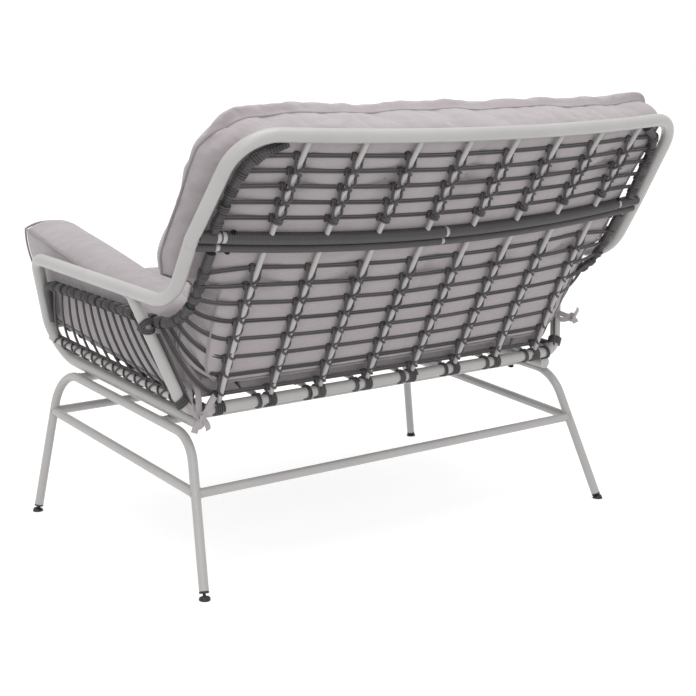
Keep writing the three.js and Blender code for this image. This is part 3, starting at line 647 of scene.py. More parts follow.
# %% Shell lines
SEAM = mm(542, 362, 643)
ARM_BACK_X, ARM_BACK_Y, ARM_BACK_Z = 541, 295, 532
ARM_FRONT_Y, ARM_FRONT_Z = -250, 551
ARM_BACK = mm(ARM_BACK_X, ARM_BACK_Y, ARM_BACK_Z)
ARM_FRONT = mm(531, ARM_FRONT_Y, ARM_FRONT_Z)
SEAT_RAIL_X, SEAT_CORNER_Y, REAR_RAIL_Y = 441, -368, 216
ARM_BENDS, TOP_BEND, POST_BEND = (200, 46, 66), 80, 46
POST_Y = 146
POST_BEAD = 1.8


def seat_rail_z(y):
    return base_z(y) + ((BASE_TUBE + SHELL_TUBE) / 2 + GAP) / math.cos(math.atan(SLOPE))


SEAT_CORNER = mm(SEAT_RAIL_X, SEAT_CORNER_Y, seat_rail_z(SEAT_CORNER_Y))
SEAT_RAIL_END = mm(SEAT_RAIL_X, REAR_RAIL_Y, seat_rail_z(REAR_RAIL_Y))
ARM_LINE = bent([SEAM, ARM_BACK, ARM_FRONT, SEAT_CORNER, SEAT_RAIL_END], ARM_BENDS)
TOP_X, TOP_Y, TOP_Z = 520, 487, 830
TOP_BOW, TOP_DROP = 28, 14
TOP_CORNER = mm(TOP_X, TOP_Y, TOP_Z)


def top_rail(x):
    sag = 1 - (x / TOP_X) ** 2
    return mm(x, TOP_Y + TOP_BOW * sag, TOP_Z - TOP_DROP * sag)


SEAM_UP = (SEAM - ARM_BACK).normalized()
seam_top = SEAM + SEAM_UP * GAP * MM
knee = SEAM + SEAM_UP * SHELL_TUBE / 2 * MM
half = [seam_top] + bent([knee, TOP_CORNER, top_rail(0.7 * TOP_X)], TOP_BEND)
BACK_LINE = half + [top_rail(x * TOP_X / 20) for x in range(13, -14, -1)] + mirrored(half[::-1], -1)
REAR_RAIL_Z = seat_rail_z(REAR_RAIL_Y) + (SHELL_TUBE + POST_TUBE) / 2 + GAP
POST_TOP = ARM_FRONT.lerp(ARM_BACK, (POST_Y - ARM_FRONT_Y) / (ARM_BACK_Y - ARM_FRONT_Y))
POST_FOOT = mm(470, REAR_RAIL_Y, REAR_RAIL_Z)
REAR_LINE = bent([POST_TOP, POST_FOOT] + mirrored([POST_FOOT, POST_TOP], -1), POST_BEND)

for hand, side in SIDES:
    tube_piece(f"arm_tube_{hand}", mirrored(ARM_LINE, side), SHELL_TUBE, f"arm_loop_{hand}", sides=28)
tube_piece("back_loop_tube", BACK_LINE, SHELL_TUBE, "back_loop", sides=28)
ARM_DIRECTION = (ARM_BACK - ARM_FRONT).normalized()
post_beads = []
for hand, side in SIDES:
    foot, top, along = mirrored([POST_FOOT, POST_TOP, ARM_DIRECTION], side)
    middle = foot.lerp(top, 0.5)
    post_beads.append((middle, top - foot, POST_TUBE / 2, top, along, SHELL_TUBE / 2, POST_BEAD))
tube_piece("rear_rail_tube", REAR_LINE, POST_TUBE, "rear_rail_and_posts", post_beads)
print("shell tubes: 4")

# %% [markdown]
# The back is a sheet, leaning back and bulging a little towards the sitter. Ribs, rows of strand,
# crossbars and the cushion all take their places from it, so one function gives any of its points by
# distance from the middle, share of the height, and distance in front of the sheet.

# %% The sheet of the back
BULGE, SIDE_RISE = 10, 20
RIBS = 8
BACK_BASE = Vector((0, POST_FOOT.y, POST_FOOT.z))
BACK_HEIGHT = (top_rail(0) - BACK_BASE).length
BACK_UP = (top_rail(0) - BACK_BASE).normalized()
FORWARD = Vector((0, -BACK_UP.z, BACK_UP.y))


def back(x, share, forward=0.0):
    """x and forward in millimetres, share from rear rail to top rail."""
    belly = 4 * share * (1 - share)
    p = mixed(Vector((x * MM, BACK_BASE.y, BACK_BASE.z)), top_rail(x), share)
    p.z += SIDE_RISE * MM * belly * (x / ARM_BACK_X) ** 2
    return p + FORWARD * (BULGE * belly + forward) * MM


BAR_SHARE = 0.597
BARS = {level: BAR_SHARE + way * (BAR_TUBES[level] + GAP) / 2 * MM / BACK_HEIGHT
        for level, way in (("lower", -1), ("upper", 1))}
RIB_SPREAD = 402.5
RIB_XS = evenly(RIB_SPREAD, -RIB_SPREAD, RIBS)
ASKEW_AT_BAR, ASKEW_ON_TOP, ASKEW_BELOW = (-7, 6), (-12, -4), 4


def rib_x(x, share):
    """Hand-fitted ribs stand a little askew: where one crosses a share of the back's height."""
    if share <= BAR_SHARE:
        return x - ASKEW_BELOW * share / BAR_SHARE
    over = (RIB_SPREAD - x) / (2 * RIB_SPREAD)
    above = (share - BAR_SHARE) / (1 - BAR_SHARE)
    return x + mixed(mixed(*ASKEW_AT_BAR, over), mixed(*ASKEW_ON_TOP, over), above)


print("back height:", round(BACK_HEIGHT / MM), "mm,", RIBS, "ribs")

# %% [markdown]
# Eight thin rods run down the back in two lengths, above and below the crossbars. Each is welded to
# the tube it ends on.

# %% Ribs
RIB_FOOT, RIB_TOP = 0.012, 0.985
RIB_BEAD = 1.1


def rib_rod(name, node, line, end, inward, carrier, carrier_tube):
    """A rod with a bead at the end that is welded to a carrier tube across the sofa."""
    maker = Maker()
    maker.bar(line, ROD / 2 * MM, 16, tone=0.5)
    across = Vector((1, 0, 0))
    weld(maker, inward, end - inward, ROD / 2, carrier, across, carrier_tube / 2, RIB_BEAD)
    maker.finish(name, paint, "frame_paint", [node])


for i, x in enumerate(RIB_XS, 1):
    line = [back(rib_x(x, share), share) for share in evenly(RIB_FOOT, BARS["lower"], 11)]
    rib_rod(f"rib_lower_rod_{i}", f"rib_lower_{i}", line, line[0], line[1], BACK_BASE, POST_TUBE)
    line = [back(rib_x(x, share), share) for share in evenly(BARS["upper"], RIB_TOP, 11)]
    rib_rod(f"rib_upper_rod_{i}", f"rib_upper_{i}", line, line[-1], line[-2], top_rail(x), SHELL_TUBE)
print("ribs:", 2 * RIBS)

# %% [markdown]
# The crossbars are tubes wound from end to end with strand, turn against turn. Modelling each of the
# hundreds of turns as its own bar would cost far more than it shows, so the winding is one sleeve
# whose radius ripples along a helix. At a few places a turn is missing and bare paint shows.

# %% Wound sleeves
SLOW_WOBBLE, QUICK_WOBBLE = 37, 91


def wound(maker, line, diameter, pitch, depth, tone, wobble=0.0, sides=16):
    """A winding of a pitch and groove depth, in millimetres, over a line."""
    points = refined(line, pitch * MM / 4)
    phase = random.random() * 7

    def swell(far, turn):
        cycle = (far / (pitch * MM) + turn / (2 * math.pi)) % 1
        ridge = math.sqrt(max(0.0, 1 - (2 * cycle - 1) ** 2))
        slow = math.sin(far * SLOW_WOBBLE + phase) + math.sin(far * QUICK_WOBBLE + 2 * phase)
        return (depth * (ridge - 1) + wobble * slow) * MM

    # The dips of this radius also darken the strand's colour through its tone: painted shade between the
    # turns.
    maker.bar(points, diameter / 2 * MM, sides, swell=swell, tone=tone)


def part_of(line, start, end, spacing=0.01):
    """The stretch of a line between two distances, in metres."""
    end = min(end, length_of(line))
    count = max(2, round((end - start) / spacing))
    return [walk(line, mixed(start, end, i / count))[0] for i in range(count + 1)]


def arc_of(line, x, samples=800):
    """How far along a line lies the point nearest to a place across the sofa, in millimetres."""
    distances = [length_of(line) * i / samples for i in range(samples + 1)]
    return min(distances, key=lambda distance: abs(walk(line, distance)[0].x - x * MM))


BAR_HALF, BAR_TRIM, BAR_SKIN = 542, 0.16, 1.6
BAR_WINDING = {"pitch": 4.6, "depth": 1.2, "tone": 0.6}
BARE = {"upper": (498, 487.5, 8, -473), "lower": (493, 8)}
BARE_HALF = 4.2
for level, share in BARS.items():
    line = [back(x * BAR_HALF / 10, share) for x in range(10, -11, -1)]
    line[0] = line[0].lerp(line[1], BAR_TRIM)
    line[-1] = line[-1].lerp(line[-2], BAR_TRIM)
    core = Maker()
    core.bar(line, (BAR_TUBES[level] / 2 - BAR_SKIN) * MM, 24, tone=0.5)
    core.finish(f"crossbar_tube_{level}", paint, "frame_paint")
    maker = Maker()
    stops = [0.0]
    for x in BARE[level]:
        centre = arc_of(line, x)
        stops += [centre - BARE_HALF * MM, centre + BARE_HALF * MM]
    stops.append(length_of(line))
    for start, end in zip(stops[::2], stops[1::2]):
        wound(maker, part_of(line, start, end), BAR_TUBES[level], **BAR_WINDING)
    maker.finish(f"crossbar_winding_{level}", wicker, "wicker", [f"crossbar_{level}"], angle=70)
print("crossbars wound")

# %% [markdown]
# Two inner rails on each side carry the ends of the strands. The lower one comes down from the
# crossbar, bends forward under the arm and turns down the upright. The upper one closes the corner
# under the top rail. Both are wrapped with strand, less evenly than the crossbars.

# %% Inner rails
INNER_X, INNER_DROP, INNER_SET_IN = 500, 54, 30
UPRIGHT_DIRECTION = (ARM_FRONT - SEAT_CORNER).normalized()
WRAPPED = INNER_TUBE + 1.2
BESIDE = ((SHELL_TUBE + WRAPPED) / 2 + GAP) / math.sqrt(1 - UPRIGHT_DIRECTION.y ** 2)


def beside(z):
    return at_height(ARM_FRONT, SEAT_CORNER, z) + Vector((0, BESIDE * MM, 0))


INNER_FOOT_DROP = 140
INNER_BENDS = (250, 46)
INNER_TRIM = 0.012
RAIL_WINDING = {"pitch": 5.2, "depth": 1.3, "tone": 0.4, "wobble": 0.3}
INNER_BACK = mm(INNER_X, ARM_BACK_Y - INNER_SET_IN, ARM_BACK_Z - INNER_DROP)
INNER_FRONT = beside(ARM_FRONT_Z - INNER_DROP)
INNER_LOWER = bent([back(INNER_X, BARS["lower"]), INNER_BACK, INNER_FRONT,
                    beside(ARM_FRONT_Z - INNER_FOOT_DROP)], INNER_BENDS)
INNER_UPPER = smoothed([back(x, share) for x, share in (
    (INNER_X + 6, BARS["upper"]), (506, 0.66), (504, 0.71), (499, 0.79), (493, 0.846), (485, 0.888),
    (472, 0.92), (454, 0.944), (434, 0.967), (420, 0.985))], 4)
for hand, side in SIDES:
    for level, line, end_trim in (("lower", INNER_LOWER, 0), ("upper", INNER_UPPER, INNER_TRIM)):
        maker = Maker()
        run = mirrored(line, side)
        wound(maker, part_of(run, INNER_TRIM, length_of(run) - end_trim), WRAPPED, **RAIL_WINDING)
        maker.finish(f"inner_rail_winding_{level}_{hand}", wicker, "wicker",
                     [f"inner_rail_{level}_{hand}"], angle=70)
print("inner rails wrapped: 4")

# %% [markdown]
# Under each arm panel a border rail runs from the upright back to the post, lashed with crossing
# strands. The seat is carried by a front rail bowed forward and nine rods down to the rear rail.

# %% Border rails and seat grid
BORDER_X, BORDER_LIFT = 456, 34


def border(y):
    return mm(BORDER_X, y, seat_rail_z(y) + BORDER_LIFT)


border_front = at_height(ARM_FRONT, SEAT_CORNER, seat_rail_z(SEAT_CORNER_Y) + BORDER_LIFT)
BORDER_END_GAP = 8
BORDER_LINE = [on_x(border(border_front.y / MM - SHIFT_Y), BORDER_X), border(REAR_RAIL_Y - BORDER_END_GAP)]
for hand, side in SIDES:
    tube_piece(f"border_tube_{hand}", mirrored(BORDER_LINE, side), BORDER_TUBE, f"border_rail_{hand}")

DECK_FRONT_Z, DECK_BOW, DECK_SIDE_X, ROD_BESIDE_RIB = 396, 30, 438, 27
DECK_FRONT_END = at_height(ARM_FRONT, SEAT_CORNER, DECK_FRONT_Z)
DECK_REAR = Vector((0, POST_FOOT.y, POST_FOOT.z + POST_TUBE / 2 * MM))


def front_rail(x):
    sag = 1 - (x * MM / DECK_FRONT_END.x) ** 2
    return Vector((x * MM, DECK_FRONT_END.y - DECK_BOW * MM * sag, DECK_FRONT_END.z))


DECK_BACK = (DECK_REAR - front_rail(0)).normalized()
DECK_UP = Vector((0, -DECK_BACK.z, DECK_BACK.y))


def deck(x, share, lift=0.0):
    return mixed(front_rail(x), Vector((x * MM, DECK_REAR.y, DECK_REAR.z)), share) + DECK_UP * lift * MM


DECK_XS = [DECK_SIDE_X] + [x + ROD_BESIDE_RIB for x in RIB_XS[1:]] + [-DECK_SIDE_X]
FRONT_RAIL_TRIM = 6
maker = Maker()
reach = DECK_FRONT_END.x / MM - FRONT_RAIL_TRIM
maker.bar([front_rail(reach * i / 12) for i in range(12, -13, -1)], FRONT_RAIL / 2 * MM, 24, tone=0.5)
for x in DECK_XS:
    maker.bar([deck(x, share) for share in (0.01, 0.5, 0.985)], ROD / 2 * MM, 14, tone=0.5)
maker.finish("seat_grid_rods", paint, "frame_paint", ["seat_grid"])
print("seat rods:", len(DECK_XS))

# %% [markdown]
# Six bolts hold the shell: four through the seat rails into the base, and one at each end of the
# crossbars. A bolt is a turned body under a six-sided head with a washer face.

# %% Bolts
BOLT_RADIUS, WASHER_FACE, CROSSBAR_BOLT_X = 3, 0.6, 470
RAIL_UP = Vector((0, SLOPE, 1)).normalized()


def bolt(name, node, origin, axis, low, high, heads, head=13, thick=4):
    """A bolt from low to high along an axis. Heads are (place, way out), in millimetres."""
    maker = Maker()
    spun(maker, [(0, low), (BOLT_RADIUS, low), (BOLT_RADIUS, high), (0, high)], origin, axis, 20)
    turned = axis.to_track_quat("Z", "X").to_matrix().to_4x4()
    for at, way in heads:
        spun(maker, [(0, at), (head / 2, at), (head / 2 + 0.2, at + 0.4 * way), (0, at + 0.8 * way)],
             origin, axis, 28)
        base = origin + axis * (at + WASHER_FACE * way) * MM
        cap = bmesh.ops.create_circle(maker.bm, cap_ends=True, radius=head / 2 * MM, segments=6,
                                      matrix=Matrix.Translation(base) @ turned)
        face = cap["verts"][0].link_faces[:]
        top = corners_in(bmesh.ops.extrude_face_region(maker.bm, geom=face)["geom"])
        bmesh.ops.translate(maker.bm, verts=top, vec=axis * (thick - WASHER_FACE) * way * MM)
        rim = {e for v in top for e in v.link_edges if all(w in top for w in e.verts)}
        bmesh.ops.bevel(maker.bm, geom=list(rim), offset=0.5 * MM, offset_type="OFFSET", segments=2,
                        profile=0.5, affect="EDGES", material=-1)
    maker.finish(name, bolt_steel, "bolt_steel", [node], angle=30)


for hand, side in SIDES:
    for end, y in (("front", FRONT_CROSS_Y), ("rear", REAR_CROSS_Y)):
        low = -BASE_RADIUS - GAP
        bolt(f"hex_bolt_{end}_{hand}", f"shell_bolt_{end}_{hand}", mm(SEAT_RAIL_X * side, y, base_z(y)),
             RAIL_UP, low, BASE_RADIUS + SHELL_TUBE / 2, [(low, -1)])
    low, high = (BAR_TUBES[level] + 2 * GAP for level in ("lower", "upper"))
    bolt(f"hex_bolt_crossbar_{hand}", f"crossbar_bolt_{hand}", back(CROSSBAR_BOLT_X * side, BAR_SHARE),
         (back(0, BARS["upper"]) - back(0, BARS["lower"])).normalized(), -low, high,
         [(-low, -1), (high, 1)], head=10, thick=3)
print("bolts: 6")

# %% [markdown]
# The weave of the back is tied by hand. Each row is a pair of strands on the sitter's side of the
# ribs. Just beside every rib the pair is caught in a knot. From there the tying strand runs down the
# near side of the rib, over to the far side at the next row, and back to the knot of the row after.
# So two strands cross between any two rows and leave a small diamond of bare paint.

# %% Rows and ties
STRAND, TIE_STRAND = 2.1, 2.6
SNUG = 1.02
ROW_LIFT = ROD / 2 + STRAND + 0.3
ROUND_ROD = ROD / 2 + TIE_STRAND + 0.15
ACROSS = Vector((1, 0, 0))


def pair(maker, line, radius=STRAND, sides=8):
    """Two strands that lie side by side along a line on the back."""
    tone = random.random()
    for way in (-1, 1):
        shifted = []
        for i, p in enumerate(line):
            along = line[min(i + 1, len(line) - 1)] - line[max(i - 1, 0)]
            shifted.append(p + along.cross(FORWARD).normalized() * radius * SNUG * way * MM)
        maker.bar(shifted, radius * MM, sides, tone=tone + 0.15 * way)


def coil(maker, origin, axis, start, size, pitch, turns, radius=STRAND, sides=6, phase=0.0):
    """Turns of strand round an axis. start points to where the turns begin, and size is the half
    widths, in millimetres, of the oval that they follow: along start and across it."""
    axis = axis.normalized()
    start = (start - axis * start.dot(axis)).normalized()
    other = axis.cross(start)
    wide, tall = size
    line = []
    for i in range(round(turns * 12) + 1):
        turn = i * math.pi / 6 + phase
        line.append(origin + (start * math.cos(turn) * wide + other * math.sin(turn) * tall
                              + axis * (i / 12 - turns / 2) * pitch) * MM)
    maker.bar(line, radius * MM, sides)


def round_rib(x, share, places):
    """Points on the skin of a rib: (degrees from its rear towards +X, millimetres up the back, extra
    distance from the rib)."""
    base = back(rib_x(x, share), share)
    line = []
    for degrees, height, out in places:
        turn = math.radians(degrees)
        line.append(base + BACK_UP * height * MM
                    + (ACROSS * math.sin(turn) - FORWARD * math.cos(turn)) * (ROUND_ROD + out) * MM)
    return smoothed(line, 3)


ONE_ROW = [(124, 0.02, 4), (112, -0.14, 1.6), (94, -0.34, 0.6), (82, -0.54, 0), (62, -0.68, 0),
           (25, -0.8, 0), (-20, -0.9, 0), (-65, -0.98, 0), (-92, -1.08, 0)]
NEXT_ROW = [(-92, -1.2, 0), (-80, -1.3, 0), (-48, -1.42, 0), (-12, -1.53, 0), (25, -1.64, 0),
            (62, -1.77, 0), (92, -1.92, 0), (122, -2.06, 4)]
START = [(-135, -0.9, 1), (-105, -1.02, 0.3), (-92, -1.12, 0)]
TUCKED = [(-118, -1.18, 0.6), (-145, -1.24, 1)]


KNOT_BESIDE, KNOT_PITCH, KNOT_TURNS = 8.8, 4.3, 1.8
KNOT_SIZE = STRAND * 3.2, STRAND * 2.15


def row_knot(maker, x, share):
    """The few turns round a pair of strands, just beside a rib."""
    beside_rib = rib_x(x, share) - x + KNOT_BESIDE + random.uniform(-0.7, 0.7)
    middle = back(x, share, ROW_LIFT) + ACROSS * beside_rib * MM
    coil(maker, middle, ACROSS, -BACK_UP, KNOT_SIZE, KNOT_PITCH, KNOT_TURNS,
         phase=random.uniform(-0.3, 0.3))


def tie(maker, x, share, gap, first, rows_below):
    """The knot at one row and its strand: down the near side of the rib, over it to the far side at
    the next row, and back over to the knot of the row after. The routes' heights are shares of the
    gap between two rows, in millimetres."""
    row_knot(maker, x, share)
    routes = [ONE_ROW + (NEXT_ROW if rows_below > 1 else TUCKED)]
    if first:
        routes.append([(turn, height + 1, out) for turn, height, out in START + NEXT_ROW])
    for route in routes:
        maker.bar(round_rib(x, share, [(turn, height * gap, out) for turn, height, out in route]),
                  TIE_STRAND * MM, 6)


def end_tie(maker, x, share):
    """The last knot of a rib: two turns round it."""
    row_knot(maker, x, share)
    for height, lean in ((2.4, 2.5), (-2.8, 1.5)):
        once_round = [(turn, height + lean * turn / 150, 0.8) for turn in range(-150, 151, 30)]
        maker.bar(round_rib(x, share, once_round), TIE_STRAND * MM, 6)


UPPER_SHARES = evenly(0.9165, 0.686, 5)
LOWER_SHARES = evenly(0.502, 0.038, 8)


def height_share(p):
    return (p - BACK_BASE).dot(BACK_UP) / BACK_HEIGHT


def at_share(line, share):
    """Where a line that runs up the back crosses a share of its height."""
    for a, b in zip(line, line[1:]):
        low, high = height_share(a), height_share(b)
        if min(low, high) <= share <= max(low, high):
            return a.lerp(b, (share - low) / (high - low))
    return line[-1].copy()


def row_on_ribs(share):
    """A row's points at the ribs, pulled up or down a little."""
    sag = [random.uniform(-0.9, 0.9) for _ in RIB_XS]
    return [back(x, share, ROW_LIFT) + BACK_UP * sag[i] * MM for i, x in enumerate(RIB_XS)]


RAIL_COIL = {"size": (9.0, 9.0), "pitch": 4.4}
END_LIFT = 2
upper_step = BACK_HEIGHT / MM * (UPPER_SHARES[0] - UPPER_SHARES[1])
rows, ties = Maker(), Maker()
for k, share in enumerate(UPPER_SHARES):
    reach = at_share(INNER_UPPER, share).x / MM - 3
    line = [back(reach, share, END_LIFT)] + row_on_ribs(share) + [back(-reach, share, END_LIFT)]
    pair(rows, smoothed(line, 4))
    for x in RIB_XS:
        if k == len(UPPER_SHARES) - 1:
            end_tie(ties, x, share)
        else:
            tie(ties, x, share, upper_step, k == 0, len(UPPER_SHARES) - 1 - k)
    for hand, side in SIDES:
        rail = mirrored(INNER_UPPER, side)
        middle = at_share(rail, share)
        below = at_share(rail, share - 0.02)
        coil(ties, middle, middle - below, FORWARD, turns=3.3, phase=random.random() * 6, **RAIL_COIL)
rows.finish("back_rows_upper", wicker, "wicker", ["back_weave_upper"])
ties.finish("back_ties_upper", wicker, "wicker")
print("upper rows:", len(UPPER_SHARES))

# %% [markdown]
# The lower rows are longer. Beyond the outer ribs they sweep forward in a fan to the lower inner
# rails, which puts them closer together there.

# %% Lower rows
FAN_START, FAN_PITCH, FAN_KNEE, FAN_REACH = 58, 28, 0.1, 0.55


def curve(start, knee, end, shares):
    """Points on a curve that leaves start towards the knee and comes from it into end."""
    return [start * (1 - t) ** 2 + knee * 2 * t * (1 - t) + end * t ** 2 for t in shares]


def fan(row, share):
    start = back(RIB_XS[0], share, ROW_LIFT)
    end = walk(INNER_LOWER, (FAN_START + FAN_PITCH * row) * MM)[0]
    low = mixed(start, end, FAN_KNEE)
    knee = Vector((mixed(start.x, end.x, FAN_REACH), low.y, low.z))
    return curve(start, knee, end, [i / 12 for i in range(1, 13)])


lower_step = BACK_HEIGHT / MM * (LOWER_SHARES[0] - LOWER_SHARES[1])
rows, ties = Maker(), Maker()
for k, share in enumerate(LOWER_SHARES):
    side_line = fan(k, share)
    pair(rows, side_line[::-1] + smoothed(row_on_ribs(share), 4) + mirrored(side_line, -1))
    for x in RIB_XS:
        tie(ties, x, share, lower_step, k == 0, len(LOWER_SHARES) - 1 - k)
    for hand, side in SIDES:
        rail = mirrored(INNER_LOWER, side)
        middle, along = walk(rail, (FAN_START + FAN_PITCH * k) * MM)
        coil(ties, middle, along, FORWARD, turns=3.2, phase=random.random() * 6, **RAIL_COIL)
rows.finish("back_rows_lower", wicker, "wicker", ["back_weave_lower"])
ties.finish("back_ties_lower", wicker, "wicker")
print("lower rows:", len(LOWER_SHARES))

# %% [markdown]
# At its foot each rib is bound to the rear rail with a few turns, and a second, smaller binding next
# to it holds the end of a seat strand.

# %% Rear rail bindings
ROUND_POST = POST_TUBE / 2 + STRAND
maker = Maker()
for x in RIB_XS:
    coil(maker, on_x(BACK_BASE, x), ACROSS, FORWARD, (ROUND_POST, ROUND_POST), STRAND * 2.15, 4.2,
         phase=random.random() * 6)
for x in DECK_XS[1:-1]:
    coil(maker, on_x(BACK_BASE, x), ACROSS, FORWARD, (ROUND_POST, ROUND_POST), STRAND * 2.1, 2.3,
         phase=random.random() * 6)
maker.finish("rear_rail_bindings", wicker, "wicker")
print("bindings:", len(RIB_XS) + len(DECK_XS) - 2)

# %% [markdown]
# The arm panels are single strands, bowed outward, from the inner rail down to the border rail. At
# the top each takes two turns round the rail. Along the border rail two strands wind in opposite
# ways, so they cross once on each side of every strand, and a third lies straight along the top.

# %% Arm strands
ARM_STRAND, STRAND_BOW, ARM_STRANDS = 2.6, 12, 12
LASHING_STRAND = 1.9
ARM_TOPS, ARM_BOTTOMS, ARM_BEND = (0.1, 0.86), (0.07, 0.93), 0.8
INNER_BAND = Vector((-5.5, 0, -1.2)) * MM
ARM_COIL = {"size": (9.2, 9.2), "pitch": 5.2, "turns": 3.1, "radius": 2.4}


def arm_top(share):
    bend = mixed(INNER_FRONT, INNER_BACK, ARM_BEND)
    bend.y = mm(0, POST_Y, 0).y
    return INNER_FRONT.lerp(bend, share)


def whole(line, radius, pitch, way, phase=0.0):
    """A helix from one end of a straight line to the other."""
    a, b = line
    length, axis = (b - a).length, (b - a).normalized()
    start = axis.orthogonal().normalized()
    other = axis.cross(start)
    count = round(length / MM / pitch * 14)
    points = []
    for i in range(count + 1):
        turn = way * (length / MM / pitch * 2 * math.pi * i / count) + phase
        points.append(a.lerp(b, i / count) + (start * math.cos(turn) + other * math.sin(turn)) * radius * MM)
    return points


border_length = (BORDER_LINE[1] - BORDER_LINE[0]).length
spacing = border_length / MM * (ARM_BOTTOMS[1] - ARM_BOTTOMS[0]) / (ARM_STRANDS - 1)
lift = Vector((0, 0, (BORDER_TUBE / 2 + ARM_STRAND) * MM))
edge = [p + lift for p in BORDER_LINE]
rail_way = (arm_top(0.6) - arm_top(0.3)).normalized()
for hand, side in SIDES:
    strands, lashing = Maker(), Maker()
    for i in range(ARM_STRANDS):
        top = arm_top(mixed(*ARM_TOPS, i / (ARM_STRANDS - 1)))
        bottom = edge[0].lerp(edge[1], mixed(*ARM_BOTTOMS, i / (ARM_STRANDS - 1)))
        knee = (top + bottom) / 2 + Vector((STRAND_BOW, 0, -STRAND_BOW)) * MM
        strands.bar(mirrored(curve(top, knee, bottom, evenly(0.0, 1.0, 13)), side), ARM_STRAND * MM, 10)
        centre, along = mirrored([top, rail_way], side)
        coil(lashing, centre, along, Vector((0, 0, 1)), phase=random.random() * 6, **ARM_COIL)
    strands.bar(mirrored(refined(edge, 0.02), side), ARM_STRAND * MM, 8)
    inner_band = [p + INNER_BAND for p in edge]
    strands.bar(mirrored(refined(inner_band, 0.02), side), ARM_STRAND * 0.8 * MM, 8)
    ends = mirrored([BORDER_LINE[0].lerp(BORDER_LINE[1], share) for share in (0.05, 0.95)], side)
    for way in (-1, 1):
        helix = whole(ends, BORDER_TUBE / 2 + LASHING_STRAND + 0.4 * way, spacing, way, math.pi / 2)
        lashing.bar(helix, LASHING_STRAND * MM, 6)
    strands.finish(f"arm_strands_{hand}", wicker, "wicker", [f"arm_weave_{hand}"])
    lashing.finish(f"arm_lashing_{hand}", wicker, "wicker")
print("arm strands:", 2 * ARM_STRANDS)

# %% [markdown]
# The seat deck is strung the same way: ten pairs from side to side over the rods, tied down at every
# second rod.

# %% Seat deck strands
DECK_LIFT = ROD / 2 + STRAND + GAP
DECK_ROWS, DECK_ROW_HALF, DECK_ROW_STEP = 10, 441, 21
DECK_KNOT = ROD / 2 + STRAND + 2.6, ROD / 2 + STRAND + 0.2
DECK_WAVE, ONE_ROD = 1.2, 3.13
maker = Maker()
for k in range(DECK_ROWS):
    share = mixed(0.07, 0.93, k / (DECK_ROWS - 1))
    line = [deck(x, share, DECK_LIFT - DECK_WAVE * math.cos(math.radians(x * ONE_ROD)))
            for x in range(DECK_ROW_HALF, -DECK_ROW_HALF - 1, -DECK_ROW_STEP)]
    tone = random.random()
    for way in (-1, 1):
        along = (deck(0, share + 0.01) - deck(0, share)).normalized() * STRAND * SNUG * way * MM
        maker.bar([p + along for p in line], STRAND * MM, 8, tone=tone + 0.15 * way)
    for x in DECK_XS[::2]:
        coil(maker, deck(x, share, DECK_LIFT / 2), Vector((0.35, 1, 0)), DECK_UP, DECK_KNOT, 4.4, 1.6,
             phase=random.random())
maker.finish("seat_strands", wicker, "wicker", ["seat_weave"])
print("seat rows:", DECK_ROWS)

# %% [markdown]
# A cushion starts as a cube whose edges are cut into many small cells. A placing function then puts
# every corner where the sewn cover would lie, by three shares from 0 to 1: across, along, and from
# the side it rests on to the side one sees. So each seam is simply a run of corners whose share is
# 0 or 1, and it is still known after the cloth has moved.

# %% Cushion blanks
def closer(t, ease):
    """Draws the cells together near both ends, where a seam needs fine ones."""
    return t - ease * math.sin(2 * math.pi * t) / (2 * math.pi)


class Blank:
    def __init__(self, cells, place, ease=0.0):
        self.cells = cells
        self.bm = bmesh.new()
        bmesh.ops.create_cube(self.bm, size=1, matrix=Matrix.Translation((0.5, 0.5, 0.5)))
        for axis, count in enumerate(cells):
            edges = [e for e in self.bm.edges
                     if abs((e.verts[0].co - e.verts[1].co)[axis]) > 1e-6]
            bmesh.ops.subdivide_edges(self.bm, edges=edges, cuts=count - 1, use_grid_fill=True)
        self.bm.verts.ensure_lookup_table()
        even = [tuple(v.co) for v in self.bm.verts]
        self.at = {self.cell(s): i for i, s in enumerate(even)}
        self.shares = [(closer(u, ease), closer(v, ease), w) for u, v, w in even]
        self.start = [place(*s) for s in self.shares]
        for v, p in zip(self.bm.verts, self.start):
            v.co = p
        bmesh.ops.recalc_face_normals(self.bm, faces=self.bm.faces)

    def cell(self, shares):
        return tuple(round(s * n) for s, n in zip(shares, self.cells))

    def rim(self, level):
        """The corners round the cushion at one level of the third share, in order."""
        across, along, deep = self.cells
        k = round(level * deep)
        way = [(i, 0) for i in range(across)] + [(across, j) for j in range(along)]
        way += [(i, along) for i in range(across, 0, -1)] + [(0, j) for j in range(along, 0, -1)]
        return [self.at[(i, j, k)] for i, j in way]


CAP_STRETCH = 1.25


